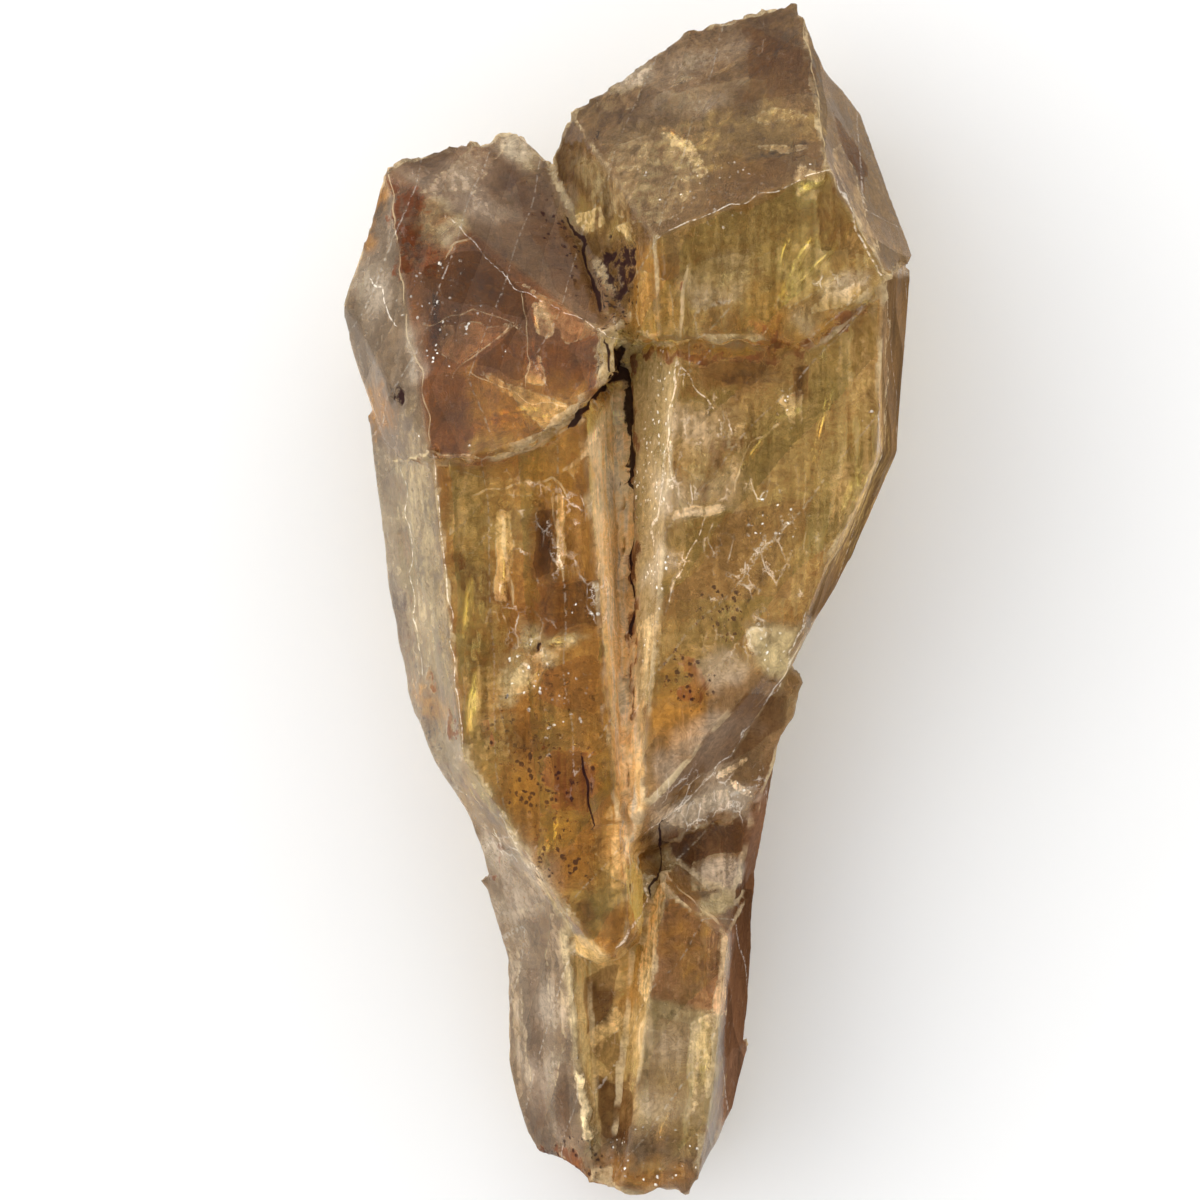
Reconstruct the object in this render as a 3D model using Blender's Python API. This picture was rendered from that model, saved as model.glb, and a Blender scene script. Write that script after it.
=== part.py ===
"""Golden barite crystal group, 100 mm long, lying on the flat back faces of its two large crystals.

Two stout prisms have grown side by side along +Y. Each carries a later, slightly wider head
with its own pointed end, whose curved lower edge stands proud of the prism as a ledge. Below
them the group narrows to a stem of smoky crystals, which ends where it was broken off its bed.
Every crystal is cut from a block by its own flat faces, all are joined in one solid, and the
broken surfaces are then struck off it.

Frame: X across, Y from the broken base to the points, Z up from the surface it lies on. The
origin is the middle of the group at that surface. Corners are given in hundredths of the
group's length, which are millimetres at its own size.
"""
import math
from dataclasses import dataclass, field

import bmesh
import bpy
from mathutils import Matrix, Vector, noise

LENGTH = 0.100              # base to tallest point
MM = LENGTH / 100
NODE_NAME = "barite_crystal_group"
COLOUR = (0.30, 0.19, 0.075, 1.0)
GLOSS_ROUGHNESS = 0.12

BLANK = 4 * LENGTH          # edge of the block that each crystal is cut from
CUT_TOLERANCE = 1e-7
CORNER_MERGE = 0.00005
ROUGH_SIZE = 3.2            # mm across the lumps of a broken surface
FINE_SHARE = 0.5            # height of the finer lumps, as a share of the coarse ones'
FINE_FACTOR = 2.3
LUMP_SIZE = 0.7             # radii across the lumps of a knob or chip
LUMPINESS = 0.16
BALL_SUBDIVISIONS = 3

# ---------------------------------------------------------------- corners shared by neighbours
LEFT_APEX = (-20.0, 36.2, 14.0)
LEFT_FOOT = (-16.3, 12.0, 25.6)
LEFT_SEAM_FOOT = (-1.5, 20.6, 24.6)
LEFT_BACK_POINT = (-9.5, 39.4, 9.3)
LEFT_BULGE = (-23.7, 24.0, 13.0)
RIGHT_APEX = (14.4, 50.0, 13.0)
RIGHT_BACK_POINT = (5.0, 47.4, 12.0)
RIGHT_BACK_CORNER = (-5.0, 40.2, 15.0)
RIGHT_LEFT_SHOULDER = (2.1, 29.5, 27.0)
RIGHT_RIGHT_SHOULDER = (16.3, 35.0, 27.0)
RIGHT_HEAD_CORNER = (21.4, 26.4, 26.2)


@dataclass(frozen=True)
class Crystal:
    """A convex crystal. heart is a point inside it, and each face is named by three points on it."""

    name: str
    heart: tuple
    faces: dict = field(default_factory=dict)


@dataclass(frozen=True)
class Break:
    """A rough surface struck off the group, from top down to bottom.

    From above it follows outline, with the stone that goes on its right hand when walked from
    first point to last. relief is the height of its roughness, hollow how far its middle dips
    into the stone between top and bottom, and cell the size of its facets. undercut is how much
    further in its foot lies than its top, and reach how wide a strip outside it is struck off.
    """

    name: str
    outline: tuple
    top: float = 27.0
    bottom: float = -1.0
    relief: float = 0.3
    hollow: float = 0.0
    undercut: float = 0.0
    reach: float = 12.0
    cell: float = 1.0


@dataclass(frozen=True)
class Ball:
    """A lumpy ball, squeezed along Z by flatness: a knob on the stone, or the hollow of a chip."""

    name: str
    centre: tuple
    radius: float
    flatness: float = 1.0


def back_face(height=0.0):
    """Three points of a level face turned down, on which the group lies."""
    return ((0, 0, height), (10, 0, height), (0, 10, height))


def walls(outline, depth=20.0, lean=0.0):
    """Upright faces, one along each stretch of a convex outline; lean moves their foot sideways."""
    faces = {}
    for number, (start, end) in enumerate(zip(outline, outline[1:])):
        away = Vector((end[1] - start[1], start[0] - end[0])).normalized() * lean
        foot = (start[0] + away.x, start[1] + away.y, start[2] - depth)
        faces[f"wall {number}"] = (start, end, foot)
    return faces


CRYSTALS = [
    Crystal("left_prism", (-10, 0, 12), {
        "front": ((-16.2, 12, 24.4), (-3.4, 10, 25.2), (-13.6, -12, 22.4)),
        "left": ((-16.2, 12, 24.4), (-13.6, -12, 22.4), (-21.2, 11, 12)),
        "left under": ((-21.2, 11, 12), (-19.3, -5, 11.5), (-16.0, 10, 0)),
        "seam side": ((-3.4, 10, 25.2), (-2.0, -4, 24.0), (0.35, 10, 19.5)),
        "seam side below": ((-2.0, -4, 24.0), (-0.2, -24, 22.2), (0.9, -20, 18.0)),
        "back": back_face(),
        "hidden in the right prism": ((4, 0, 0), (4, 10, 0), (3, 0, 20)),
        "hidden in the head": ((-16.3, 12, 24.3), (-1.5, 20.6, 23.3), (-20.0, 36.2, 12.7)),
        "end in the head": ((-20, 15.4, 0), (0, 18.6, 0), (-20, 15.6, 10)),
        "left break": ((-18.9, -8, 11), (-12.6, -20.3, 11), (-16.2, -8, 0)),
        "front break": ((-13.4, -14.0, 22.0), (-8.3, -21.3, 21.6), (-12.8, -19.6, 13)),
        "tongue left": ((-8.3, -21.3, 21.6), (-4.8, -26.6, 21.4), (-9.0, -25.6, 15)),
        "tongue low left": ((-4.8, -26.6, 21.4), (-2.4, -29.8, 21.0), (-5.6, -30.4, 15)),
        "tongue tip": ((-2.4, -29.9, 21), (-0.9, -29.8, 21), (-2.4, -31.0, 14)),
        "tongue low right": ((-0.9, -29.8, 21), (0.7, -27.6, 21), (0.0, -30.6, 13)),
        "tongue right": ((0.7, -27.6, 21), (1.1, -24.0, 21), (1.6, -27.6, 13)),
        "under the tongue": ((-12, -26.5, 13), (2, -26.3, 13), (-12, -18.0, 0)),
    }),
    Crystal("right_prism", (10, 5, 12), {
        "front": ((4.2, 20, 25.8), (18, 18, 25.4), (4, -3, 24.0)),
        "seam side": ((4.1, 18, 25.8), (2.4, 0, 24.2), (0.3, 10, 19.0)),
        "right": ((21.0, 22, 24.8), (20.4, 12, 24.6), (23.3, 22, 12)),
        "right taper": ((20.6, 12.0, 24.6), (14.6, -1.5, 24.0), (22.6, 12.0, 12)),
        "right under": ((23.3, 22, 12), (22.7, 12, 12), (18.6, 18, 0)),
        "taper under": ((22.6, 12, 12), (16.2, -2, 12), (17.0, 8, 0)),
        "back": back_face(),
        "top": ((23.3, 27.2, 22), (23.0, 27.6, 12), (10, 30, 20)),
        "hidden in the left prism": ((-3.4, 0, 0), (-3.6, 10, 0), (-1.3, 0, 20)),
        "end break": ((1.3, -18.5, 21.8), (11, -7, 23), (12.4, -12.5, 13)),
        "lower break": ((14.2, -4.6, 20), (17.5, 0.3, 20), (12.5, -4.6, 0)),
    }),
    Crystal("left_head", (-12, 22, 12), {
        "front point face": (LEFT_APEX, LEFT_FOOT, LEFT_SEAM_FOOT),
        "seam point face": (LEFT_APEX, LEFT_SEAM_FOOT, LEFT_BACK_POINT),
        "left point face": (LEFT_APEX, LEFT_FOOT, (-22.9, 27.0, 13.6)),
        "left": (LEFT_BULGE, LEFT_FOOT, (-21.9, 14.5, 12.4)),
        "left under": (LEFT_BULGE, (-21.9, 14.5, 12.4), (-17.0, 18, 0)),
        "back": back_face(),
        "back point face": (LEFT_APEX, LEFT_BACK_POINT, (-14, 28, 0)),
        "back left point face": (LEFT_APEX, LEFT_BULGE, (-18.5, 25, 0)),
        "back right point face": (LEFT_BACK_POINT, (-7.2, 37.0, 8.9), (-9.2, 38.6, 0)),
        "hidden in the right head": ((-1, 0, 0), (-1, 10, 0), (1.5, 0, 24)),
        **walls([(-21.9, 17.5, 25), (-20.4, 13.1, 25), (-18.8, 11.4, 25), (-12.6, 11.3, 25),
                 (-8.0, 12.5, 25), (-4.2, 15.4, 25), (-0.8, 18.6, 25), (1.5, 22.5, 25)]),
    }),
    Crystal("right_head", (8, 32, 12), {
        "front point face": (RIGHT_APEX, RIGHT_LEFT_SHOULDER, RIGHT_RIGHT_SHOULDER),
        "right point face": (RIGHT_APEX, RIGHT_RIGHT_SHOULDER, RIGHT_HEAD_CORNER),
        "front": (RIGHT_LEFT_SHOULDER, RIGHT_RIGHT_SHOULDER, (10, 20, 27.3)),
        "seam side": (RIGHT_LEFT_SHOULDER, (-4.6, 40.0, 15.3), (-0.6, 22.2, 21.5)),
        "right": ((19.9, 40.4, 17), (23.5, 28.6, 19), (22.0, 28.6, 6)),
        "right under": ((19.5, 40.4, 10), (23.2, 28.6, 11), (17.0, 28.6, 0)),
        "back": back_face(),
        "back point face": (RIGHT_APEX, RIGHT_BACK_POINT, (9, 38, 0)),
        "back left point face": (RIGHT_BACK_POINT, RIGHT_BACK_CORNER, (3, 36, 0)),
        "seam back": (RIGHT_BACK_CORNER, (-7.3, 37.0, 10), (-4.4, 39.9, 0)),
        **walls([(-3.0, 20.9, 27), (4.0, 20.9, 27), (8.0, 20.2, 27), (12.8, 20.0, 27),
                 (15.6, 21.0, 27), (18.0, 23.0, 27), (21.6, 26.4, 27)]),
    }),
    Crystal("seam_splinter", (-1.5, 20, 24), {
        "front": ((-2.4, 21.4, 26.0), (-0.7, 22.2, 26.2), (-2.1, 17.8, 26.3)),
        "left": ((-2.4, 21.4, 26.0), (-2.1, 17.8, 26.3), (-2.6, 21.4, 20)),
        "right": ((-0.6, 22.2, 26), (-0.5, 17.8, 26), (-0.3, 22.2, 20)),
        "top": ((-2.4, 21.7, 26), (-0.7, 22.5, 26), (-2.4, 22.6, 20)),
        "end": ((-2.1, 17.9, 26), (-0.6, 18.7, 26), (-2.1, 18.0, 20)),
        "floor": back_face(16.0),
    }),
    Crystal("stem", (5, -28, 8), {
        "front": ((5, -20, 15.4), (9.8, -21.5, 15.4), (5, -44, 14.4)),
        "right ridge": ((11.7, -15, 15.2), (9.7, -22, 15.3), (13.6, -15, 9)),
        "back": back_face(0.4),
        "left": ((-3.2, -20, 12), (-2.4, -48, 12), (-2.0, -20, 0)),
        "top": ((0, 2, 0), (10, 2, 0), (0, -1, 14)),
        "base": ((0, -51.6, 0), (10, -51.6, 0), (0, -51.4, 10)),
        **walls([(9.1, -46.0, 15.3), (10.8, -35, 15.3), (12.8, -12, 15.3)], depth=15.3, lean=-4.0),
    }),
    Crystal("shoulder", (9, -9, 12), {
        "front": ((3.0, -15, 19.5), (12.5, -8.0, 17.5), (9.0, -17.0, 16.2)),
        "right": ((14.2, -4.6, 17), (14.3, -7.4, 15), (14.0, -7.4, 8)),
        "right below": ((14.3, -8.6, 15), (12.7, -12.6, 14), (13.4, -9.6, 3)),
        "top": ((0, -4, 0), (10, -2.5, 0), (0, -6, 20)),
        "left": ((1.8, -10, 0), (1.8, -20, 0), (1.6, -10, 10)),
        "end": ((2, -20.5, 15), (12, -16.5, 15), (2, -18, 5)),
        "floor": back_face(3.0),
    }),
    Crystal("pale_chip", (12, -5, 20), {
        "front": ((10.4, -3.4, 24.6), (13.8, -3.0, 23.4), (12.2, -6.8, 22.6)),
        "left": ((10.2, -3.2, 24), (10.6, -5.2, 24), (10.4, -4.2, 15)),
        "low left": ((10.5, -5.2, 24), (12.2, -7.1, 23), (10.8, -6.0, 15)),
        "low right": ((12.2, -7.1, 23), (13.5, -4.8, 23), (12.6, -7.0, 15)),
        "right": ((13.5, -4.9, 23), (14.4, -3.4, 23), (13.8, -5.0, 15)),
        "top": ((10.2, -3.0, 24.6), (14.3, -2.9, 23.4), (12.0, -1.6, 20)),
        "floor": back_face(12.0),
    }),
    Crystal("pale_shoulder", (-8, -22, 10), {
        "front": ((-4.7, -30.0, 18.0), (-9.5, -31.5, 10.25), (-12.4, -21.0, 13.5)),
        "lid under the tongue": back_face(19.4),
        "left": ((-12.9, -20.3, 11), (-9.6, -31.6, 11), (-12.6, -20.3, 8)),
        "left under": ((-12.8, -20.3, 9), (-9.5, -31.6, 9), (-9.0, -20.3, 0)),
        "back": back_face(0.2),
        "top": ((-12.6, -14, 10), (0, -21, 10), (0, -21, 20)),
        "right": ((-4.2, -20, 0), (-4.2, -30, 0), (-4.9, -20, 20)),
        "end": ((-9.3, -32.5, 10), (0, -33.5, 10), (0, -33, 0)),
    }),
    Crystal("pale_prism", (-5.5, -38, 8), {
        "front left": ((-4.7, -30, 18.0), (-4.1, -38.5, 17.2), (-9.9, -37, 8.5)),
        "front left turned": ((-4.1, -38.5, 17.2), (-2.4, -46.0, 16.2), (-9.8, -40, 8.4)),
        "bevel": ((-4.7, -30, 18.0), (-4.1, -38.5, 17.2), (-3.3, -36, 15.2)),
        "left under": ((-10.2, -39, 8), (-9.5, -31, 8), (-7.0, -38, 0)),
        "lower left under": ((-10.2, -39, 8), (-9.0, -44.5, 8), (-7.0, -40, 0)),
        "right": ((-1.5, -30, 0), (-1.0, -46, 0), (-2.0, -30, 18)),
        "back": back_face(0.3),
        "top": ((-9, -24, 0), (0, -24, 0), (0, -26, 18)),
        "base": ((-9, -51.2, 0), (0, -51.3, 0), (0, -51.1, 10)),
    }),
    Crystal("small_point", (4, -36, 12), {
        "front": ((3.1, -24.0, 18.8), (8.2, -28.4, 18.6), (0.9, -44, 16.8)),
        "point face": ((3.2, -22.7, 17.2), (8.9, -27.6, 17.2), (3.1, -24.0, 18.8)),
        "left": ((3.0, -24.0, 18.8), (0.5, -42.0, 17.0), (0.6, -27.0, 14.5)),
        "right": ((8.2, -28.2, 18.6), (7.1, -40.0, 17.4), (9.0, -28.5, 15.5)),
        "floor": back_face(6.0),
        "top": ((3.0, -22.4, 15), (0.0, -22.8, 15), (3.0, -22.0, 5)),
        "base": ((0, -51, 0), (10, -51, 0), (0, -51, 10)),
        "lower right": ((7.1, -40.0, 17.4), (5.6, -50.0, 16.0), (8.2, -42.0, 12)),
    }),
]

BREAKS = [
    Break("base", ((-11.2, -37.0), (-10.3, -39.0), (-9.8, -41.3), (-9.1, -44.4), (-8.8, -45.4),
                   (-7.9, -46.4), (-7.5, -47.3), (-6.0, -47.6), (-4.0, -48.3), (-3.0, -49.1),
                   (0.0, -50.0), (1.5, -49.8), (2.3, -49.3), (2.9, -49.8), (3.6, -49.2),
                   (4.6, -49.6), (5.3, -49.2), (6.2, -47.9), (7.2, -46.3), (8.0, -45.0),
                   (9.1, -43.6), (9.4, -41.3), (10.5, -37.5), (11.6, -34.0)),
          top=20, relief=0.4, hollow=0.3, undercut=1.5, cell=0.8),
    Break("left_flank", ((-20.2, -1.0), (-19.2, -5.3), (-18.9, -7.9), (-18.1, -9.9),
                         (-16.9, -12.4), (-15.4, -14.8), (-14.3, -16.8), (-12.7, -20.2),
                         (-11.9, -23.6)),
          top=20.5, relief=0.3, undercut=3.0),
    Break("right_flank", ((13.9, -6.0), (14.1, -4.8), (15.1, -3.5), (16.6, -1.5), (17.3, 0.2),
                          (17.9, 0.5), (18.8, 3.0)),
          top=26, relief=0.25, undercut=2.5, reach=8.0, cell=0.9),
    Break("stem_flank", ((10.4, -37.5), (10.8, -35.0), (11.0, -32.0), (11.0, -26.0), (11.3, -23.0),
                         (11.7, -20.0), (12.0, -18.0), (12.4, -15.0), (12.6, -12.5), (13.1, -11.0),
                         (14.0, -9.9), (14.2, -8.0), (14.2, -6.2), (13.9, -5.2)),
          top=19, relief=0.16, undercut=3.0, reach=6.0, cell=0.9),
    Break("apex_flank", ((21.1, 37.5), (20.1, 40.4), (18.8, 41.9), (17.9, 42.5), (16.6, 44.1),
                         (15.7, 45.9), (15.3, 47.6), (14.3, 50.3)),
          top=22, relief=0.25, undercut=3.0, reach=6.0, cell=0.8),
]

KNOBS = [
    Ball("pale_knob", (7.1, -25.7, 15.7), 1.35),
]

CHIPS = [
    Ball("valley_pit_upper", (-4.7, 31.6, 19.3), 0.55),
    Ball("valley_pit_middle", (-3.9, 29.9, 20.2), 0.45),
    Ball("valley_pit_lower", (-3.1, 25.0, 22.9), 0.6),
    Ball("left_ridge_notch", (-12.15, 38.8, 10.5), 0.8, 3.0),
    Ball("left_tip_corner", (-7.6, 39.6, 10.0), 1.0, 2.0),
    Ball("ledge_notch", (23.5, 18.8, 15.0), 0.85, 3.0),
    Ball("left_apex_chip", (-21.5, 36.4, 13.5), 1.0, 2.0),
    Ball("tongue_chip", (1.9, -27.6, 21.0), 1.3, 1.5),
    Ball("recess", (2.0, -21.8, 17.5), 1.3, 2.2),
    Ball("ledge_chip", (10.4, 19.5, 26.8), 0.9),
    Ball("corner_chip", (22.6, 26.6, 25.4), 1.1),
    Ball("foot_chip", (-13.6, -14.8, 22.5), 1.2),
    Ball("stem_chip", (9.7, -22.4, 15.8), 0.8),
]

CRACKS = [
    Crystal("seam_crack", (0.0, 15, 19), {
        "left": ((-0.75, 20.5, 21.5), (0.15, 8.5, 21), (-0.1, 20.5, 14)),
        "right": ((0.45, 20.5, 21.5), (0.6, 8.5, 21), (0.1, 20.5, 14)),
        "upper end": ((-5, 21.4, 20), (5, 21.4, 20), (0, 20.6, 14)),
        "lower end": ((-5, 8.6, 20), (5, 8.6, 20), (0, 10.5, 14)),
        "mouth": back_face(30.0),
    }),
]


def grow(crystal):
    """Cuts a block down to the crystal, one face at a time, and returns its mesh object."""
    heart = Vector(crystal.heart) * MM
    mesh = bmesh.new()
    bmesh.ops.create_cube(mesh, size=BLANK, matrix=Matrix.Translation(heart))
    for corners in crystal.faces.values():
        first, second, third = (Vector(corner) * MM for corner in corners)
        outward = (second - first).cross(third - first).normalized()
        if (heart - first).dot(outward) > 0:
            outward.negate()
        cut = bmesh.ops.bisect_plane(
            mesh, geom=mesh.verts[:] + mesh.edges[:] + mesh.faces[:], dist=CUT_TOLERANCE,
            plane_co=first, plane_no=outward, clear_outer=True)
        rim = [part for part in cut["geom_cut"] if isinstance(part, bmesh.types.BMEdge)]
        if rim:
            bmesh.ops.contextual_create(mesh, geom=rim)
    bmesh.ops.remove_doubles(mesh, verts=mesh.verts, dist=CORNER_MERGE)
    return finish_mesh(mesh, crystal.name)


def finish_mesh(mesh, name):
    """Turns a bmesh into an object with its faces pointing out."""
    bmesh.ops.recalc_face_normals(mesh, faces=mesh.faces[:])
    data = bpy.data.meshes.new(name)
    mesh.to_mesh(data)
    mesh.free()
    return bpy.data.objects.new(name, data)


def roughness(place, coarse, seed):
    """A height between about -1 and 1: two octaves of noise, coarse millimetres across."""
    at = Vector(place) / coarse + Vector((seed, seed, -seed))
    return noise.noise(at) + FINE_SHARE * noise.noise(at * FINE_FACTOR)


def height_along(points, distance):
    """The height of a folded line at that distance along its chord; level beyond its ends."""
    if distance <= points[0][0]:
        return points[0][1]
    for (start, low), (end, high) in zip(points, points[1:]):
        if distance <= end:
            return low + (high - low) * (distance - start) / (end - start)
    return points[-1][1]


def broken_block(broken, seed):
    """The stone that a break takes away: a block whose inner side is the rough surface."""
    first, last = Vector(broken.outline[0]), Vector(broken.outline[-1])
    along = (last - first).normalized()
    outward = Vector((along.y, -along.x))
    folded = [((Vector(corner) - first).dot(along), (Vector(corner) - first).dot(outward))
              for corner in broken.outline]
    length = (last - first).length
    columns = round(length / broken.cell)
    rows = round((broken.top - broken.bottom) / broken.cell)
    mesh = bmesh.new()
    bmesh.ops.create_grid(mesh, x_segments=columns, y_segments=rows, size=0.5)
    for vertex in mesh.verts:
        distance = (vertex.co.x + 0.5) * length
        rise = vertex.co.y + 0.5
        height = broken.bottom + rise * (broken.top - broken.bottom)
        out = height_along(folded, distance)
        out -= broken.hollow * math.sin(math.pi * rise) + broken.undercut * (1 - rise) ** 2
        out += broken.relief * roughness((distance, height, 0.0), ROUGH_SIZE, seed)
        place = first + along * distance + outward * out
        vertex.co = Vector((place.x, place.y, height))
    shell = bmesh.ops.extrude_face_region(mesh, geom=mesh.faces[:])
    beyond = max(out for _, out in folded) + broken.reach
    for part in shell["geom"]:
        if isinstance(part, bmesh.types.BMVert):
            place = part.co.to_2d() - first
            place = first + along * place.dot(along) + outward * beyond
            part.co = Vector((place.x, place.y, part.co.z))
    bmesh.ops.scale(mesh, vec=(MM, MM, MM), verts=mesh.verts)
    return finish_mesh(mesh, f"break_{broken.name}")


def lumpy_ball(ball, seed):
    """The body of a knob or the tool of a chip."""
    mesh = bmesh.new()
    bmesh.ops.create_icosphere(mesh, subdivisions=BALL_SUBDIVISIONS, radius=1.0)
    for vertex in mesh.verts:
        vertex.co *= ball.radius * (1 + LUMPINESS * roughness(vertex.co, LUMP_SIZE, seed))
        vertex.co.z *= ball.flatness
    place = Matrix.Translation(Vector(ball.centre) * MM) @ Matrix.Scale(MM, 4)
    bmesh.ops.transform(mesh, matrix=place, verts=mesh.verts)
    return finish_mesh(mesh, ball.name)


def stone_material():
    """Smoky golden stone: a glossy, non-metallic surface."""
    material = bpy.data.materials.new("golden_barite")
    material.use_nodes = True
    surface = material.node_tree.nodes["Principled BSDF"]
    surface.inputs["Base Color"].default_value = COLOUR
    surface.inputs["Roughness"].default_value = GLOSS_ROUGHNESS
    surface.inputs["Metallic"].default_value = 0.0
    return material


def clear_scene():
    """Removes whatever objects the file starts with."""
    for thing in list(bpy.data.objects):
        bpy.data.objects.remove(thing)


def as_tool(thing):
    """Keeps an object as a Boolean's operand only: a wire in the viewport, absent from a render."""
    thing.hide_render = True
    thing.display_type = "WIRE"
    bpy.context.scene.collection.objects.link(thing)
    return thing


def boolean(target, tool, operation):
    """Adds a Boolean of the tool to the target's modifiers."""
    modifier = target.modifiers.new(f"{operation.lower()} {tool.name}", "BOOLEAN")
    modifier.operation = operation
    modifier.solver = "EXACT"
    modifier.object = tool


def main():
    """Builds the group as one solid."""
    clear_scene()
    first, *others = [grow(crystal) for crystal in CRYSTALS]
    group = bpy.data.objects.new(NODE_NAME, first.data)
    group.data.materials.append(stone_material())
    bpy.context.scene.collection.objects.link(group)
    for other in others:
        boolean(group, as_tool(other), "UNION")
    for seed, knob in enumerate(KNOBS):
        boolean(group, as_tool(lumpy_ball(knob, seed)), "UNION")
    for seed, broken in enumerate(BREAKS):
        boolean(group, as_tool(broken_block(broken, seed)), "DIFFERENCE")
    for seed, chip in enumerate(CHIPS):
        boolean(group, as_tool(lumpy_ball(chip, seed)), "DIFFERENCE")
    for crack in CRACKS:
        boolean(group, as_tool(grow(crack)), "DIFFERENCE")


main()
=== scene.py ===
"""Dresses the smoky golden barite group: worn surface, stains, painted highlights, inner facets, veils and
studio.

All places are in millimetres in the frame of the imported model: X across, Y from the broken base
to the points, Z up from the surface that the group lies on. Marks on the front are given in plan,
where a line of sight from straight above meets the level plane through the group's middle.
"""
from __future__ import annotations

import logging
import math
from collections.abc import Sequence
from dataclasses import dataclass, field
from enum import Enum, IntEnum
from typing import Any

import bmesh
import bpy
import numpy as np
from mathutils import Euler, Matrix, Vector


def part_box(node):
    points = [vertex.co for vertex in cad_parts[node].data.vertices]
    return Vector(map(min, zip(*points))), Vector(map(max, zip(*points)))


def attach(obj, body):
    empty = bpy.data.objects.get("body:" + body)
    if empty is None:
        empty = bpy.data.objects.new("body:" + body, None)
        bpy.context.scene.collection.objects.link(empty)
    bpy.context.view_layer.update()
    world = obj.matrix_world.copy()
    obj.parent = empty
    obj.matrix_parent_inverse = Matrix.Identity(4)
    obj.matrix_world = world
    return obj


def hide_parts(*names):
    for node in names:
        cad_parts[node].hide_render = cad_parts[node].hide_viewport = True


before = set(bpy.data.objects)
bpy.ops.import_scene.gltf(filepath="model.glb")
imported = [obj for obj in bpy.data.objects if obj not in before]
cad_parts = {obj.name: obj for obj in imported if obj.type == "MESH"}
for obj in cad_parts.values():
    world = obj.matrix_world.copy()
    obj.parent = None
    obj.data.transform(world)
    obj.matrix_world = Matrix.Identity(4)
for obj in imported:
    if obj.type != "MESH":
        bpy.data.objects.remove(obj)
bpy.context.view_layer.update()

MM = 0.001
NODE = "barite_crystal_group"
BODY = "root"

EYE = np.array([-2.3, -0.2, 600.0])  # the camera, straight above
EYE_LEVEL = 13.0  # height of the plane that marks are given on
PICTURE_WIDTH = 100.42  # what the camera takes in on that plane
SENSOR = 36.0

log = logging.getLogger("barite")
Array = np.ndarray
Colour = tuple[float, float, float]
Plan = tuple[float, float]
Place = tuple[float, float, float]


class Draw(IntEnum):
    """Seeds: each part of the stone draws its own random numbers."""

    CURL_BEND = 5
    CURL = 6
    FINE_CURL = 7
    CLOUD = 8
    MARK_ACROSS = 11
    MARK_ALONG = 12
    FACET_ACROSS = 13
    FACET_ALONG = 14
    GROWTH = 21
    SWELL = 22
    CHIPS = 23
    FINE_CHIPS = 24
    FIBRES = 27
    WORN_EDGE = 28
    FLOW_BEND = 41  # and the two after it
    FLOW = 44
    FINE_FLOW = 45
    PLANE_BEND = 46
    GLINT_PLACES = 71
    SPECK_PLACES = 72
    PLANES = 91
    GOLDEN_CRACKS = 100
    MILKY_VEILS = 200
    SMOKY_WISPS = 300
    BRIGHT_FLAKES = 400
    RUSTY_FLAKES = 2000


# ---------------------------------------------------------------------------- shader graphs
class Wire:
    """A socket of a shader graph that can be used in arithmetic."""

    def __init__(self, graph: "Graph", socket: bpy.types.NodeSocket) -> None:
        """Wraps one output socket."""
        self.graph = graph
        self.socket = socket

    def math(self, operation: str, *others: "Wire | float", first: bool = True) -> "Wire":
        """Adds a Math node.

        Args:
            operation: the Math node's operation.
            others: its other values.
            first: whether this wire is the first operand; otherwise it is the last.

        Returns:
            The node's result.
        """
        values = [self, *others] if first else [*others, self]
        node = self.graph.node("ShaderNodeMath", {"operation": operation}, dict(enumerate(values)))
        return Wire(self.graph, node.outputs[0])

    def __add__(self, other: "Wire | float") -> "Wire":
        """Sum."""
        return self.math("ADD", other)

    def __sub__(self, other: "Wire | float") -> "Wire":
        """Difference."""
        return self.math("SUBTRACT", other)

    def __rsub__(self, other: float) -> "Wire":
        """Difference from a number."""
        return self.math("SUBTRACT", other, first=False)

    def __mul__(self, other: "Wire | float") -> "Wire":
        """Product."""
        return self.math("MULTIPLY", other)

    def __pow__(self, other: "Wire | float") -> "Wire":
        """Power."""
        return self.math("POWER", other)

    __radd__ = __add__
    __rmul__ = __mul__

    def distance_from(self, value: float) -> "Wire":
        """How far it is from a number, either way."""
        return (self - value).math("ABSOLUTE")

    def at_most(self, other: "Wire | float") -> "Wire":
        """The smaller of the two."""
        return self.math("MINIMUM", other)

    def at_least(self, other: "Wire | float") -> "Wire":
        """The larger of the two."""
        return self.math("MAXIMUM", other)

    def rise(self, low: float, high: float, top: float = 1.0, bottom: float = 0.0) -> "Wire":
        """A smooth step.

        Args:
            low: value at which the step begins; it may be the larger one.
            high: value at which it ends.
            top: what the step reaches.
            bottom: what it starts from.

        Returns:
            The stepped value.
        """
        ends = (bottom, top) if low < high else (top, bottom)
        node = self.graph.node(
            "ShaderNodeMapRange", {"interpolation_type": "SMOOTHSTEP", "clamp": True},
            {0: self, 1: min(low, high), 2: max(low, high), 3: ends[0], 4: ends[1]})
        return Wire(self.graph, node.outputs[0])


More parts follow.
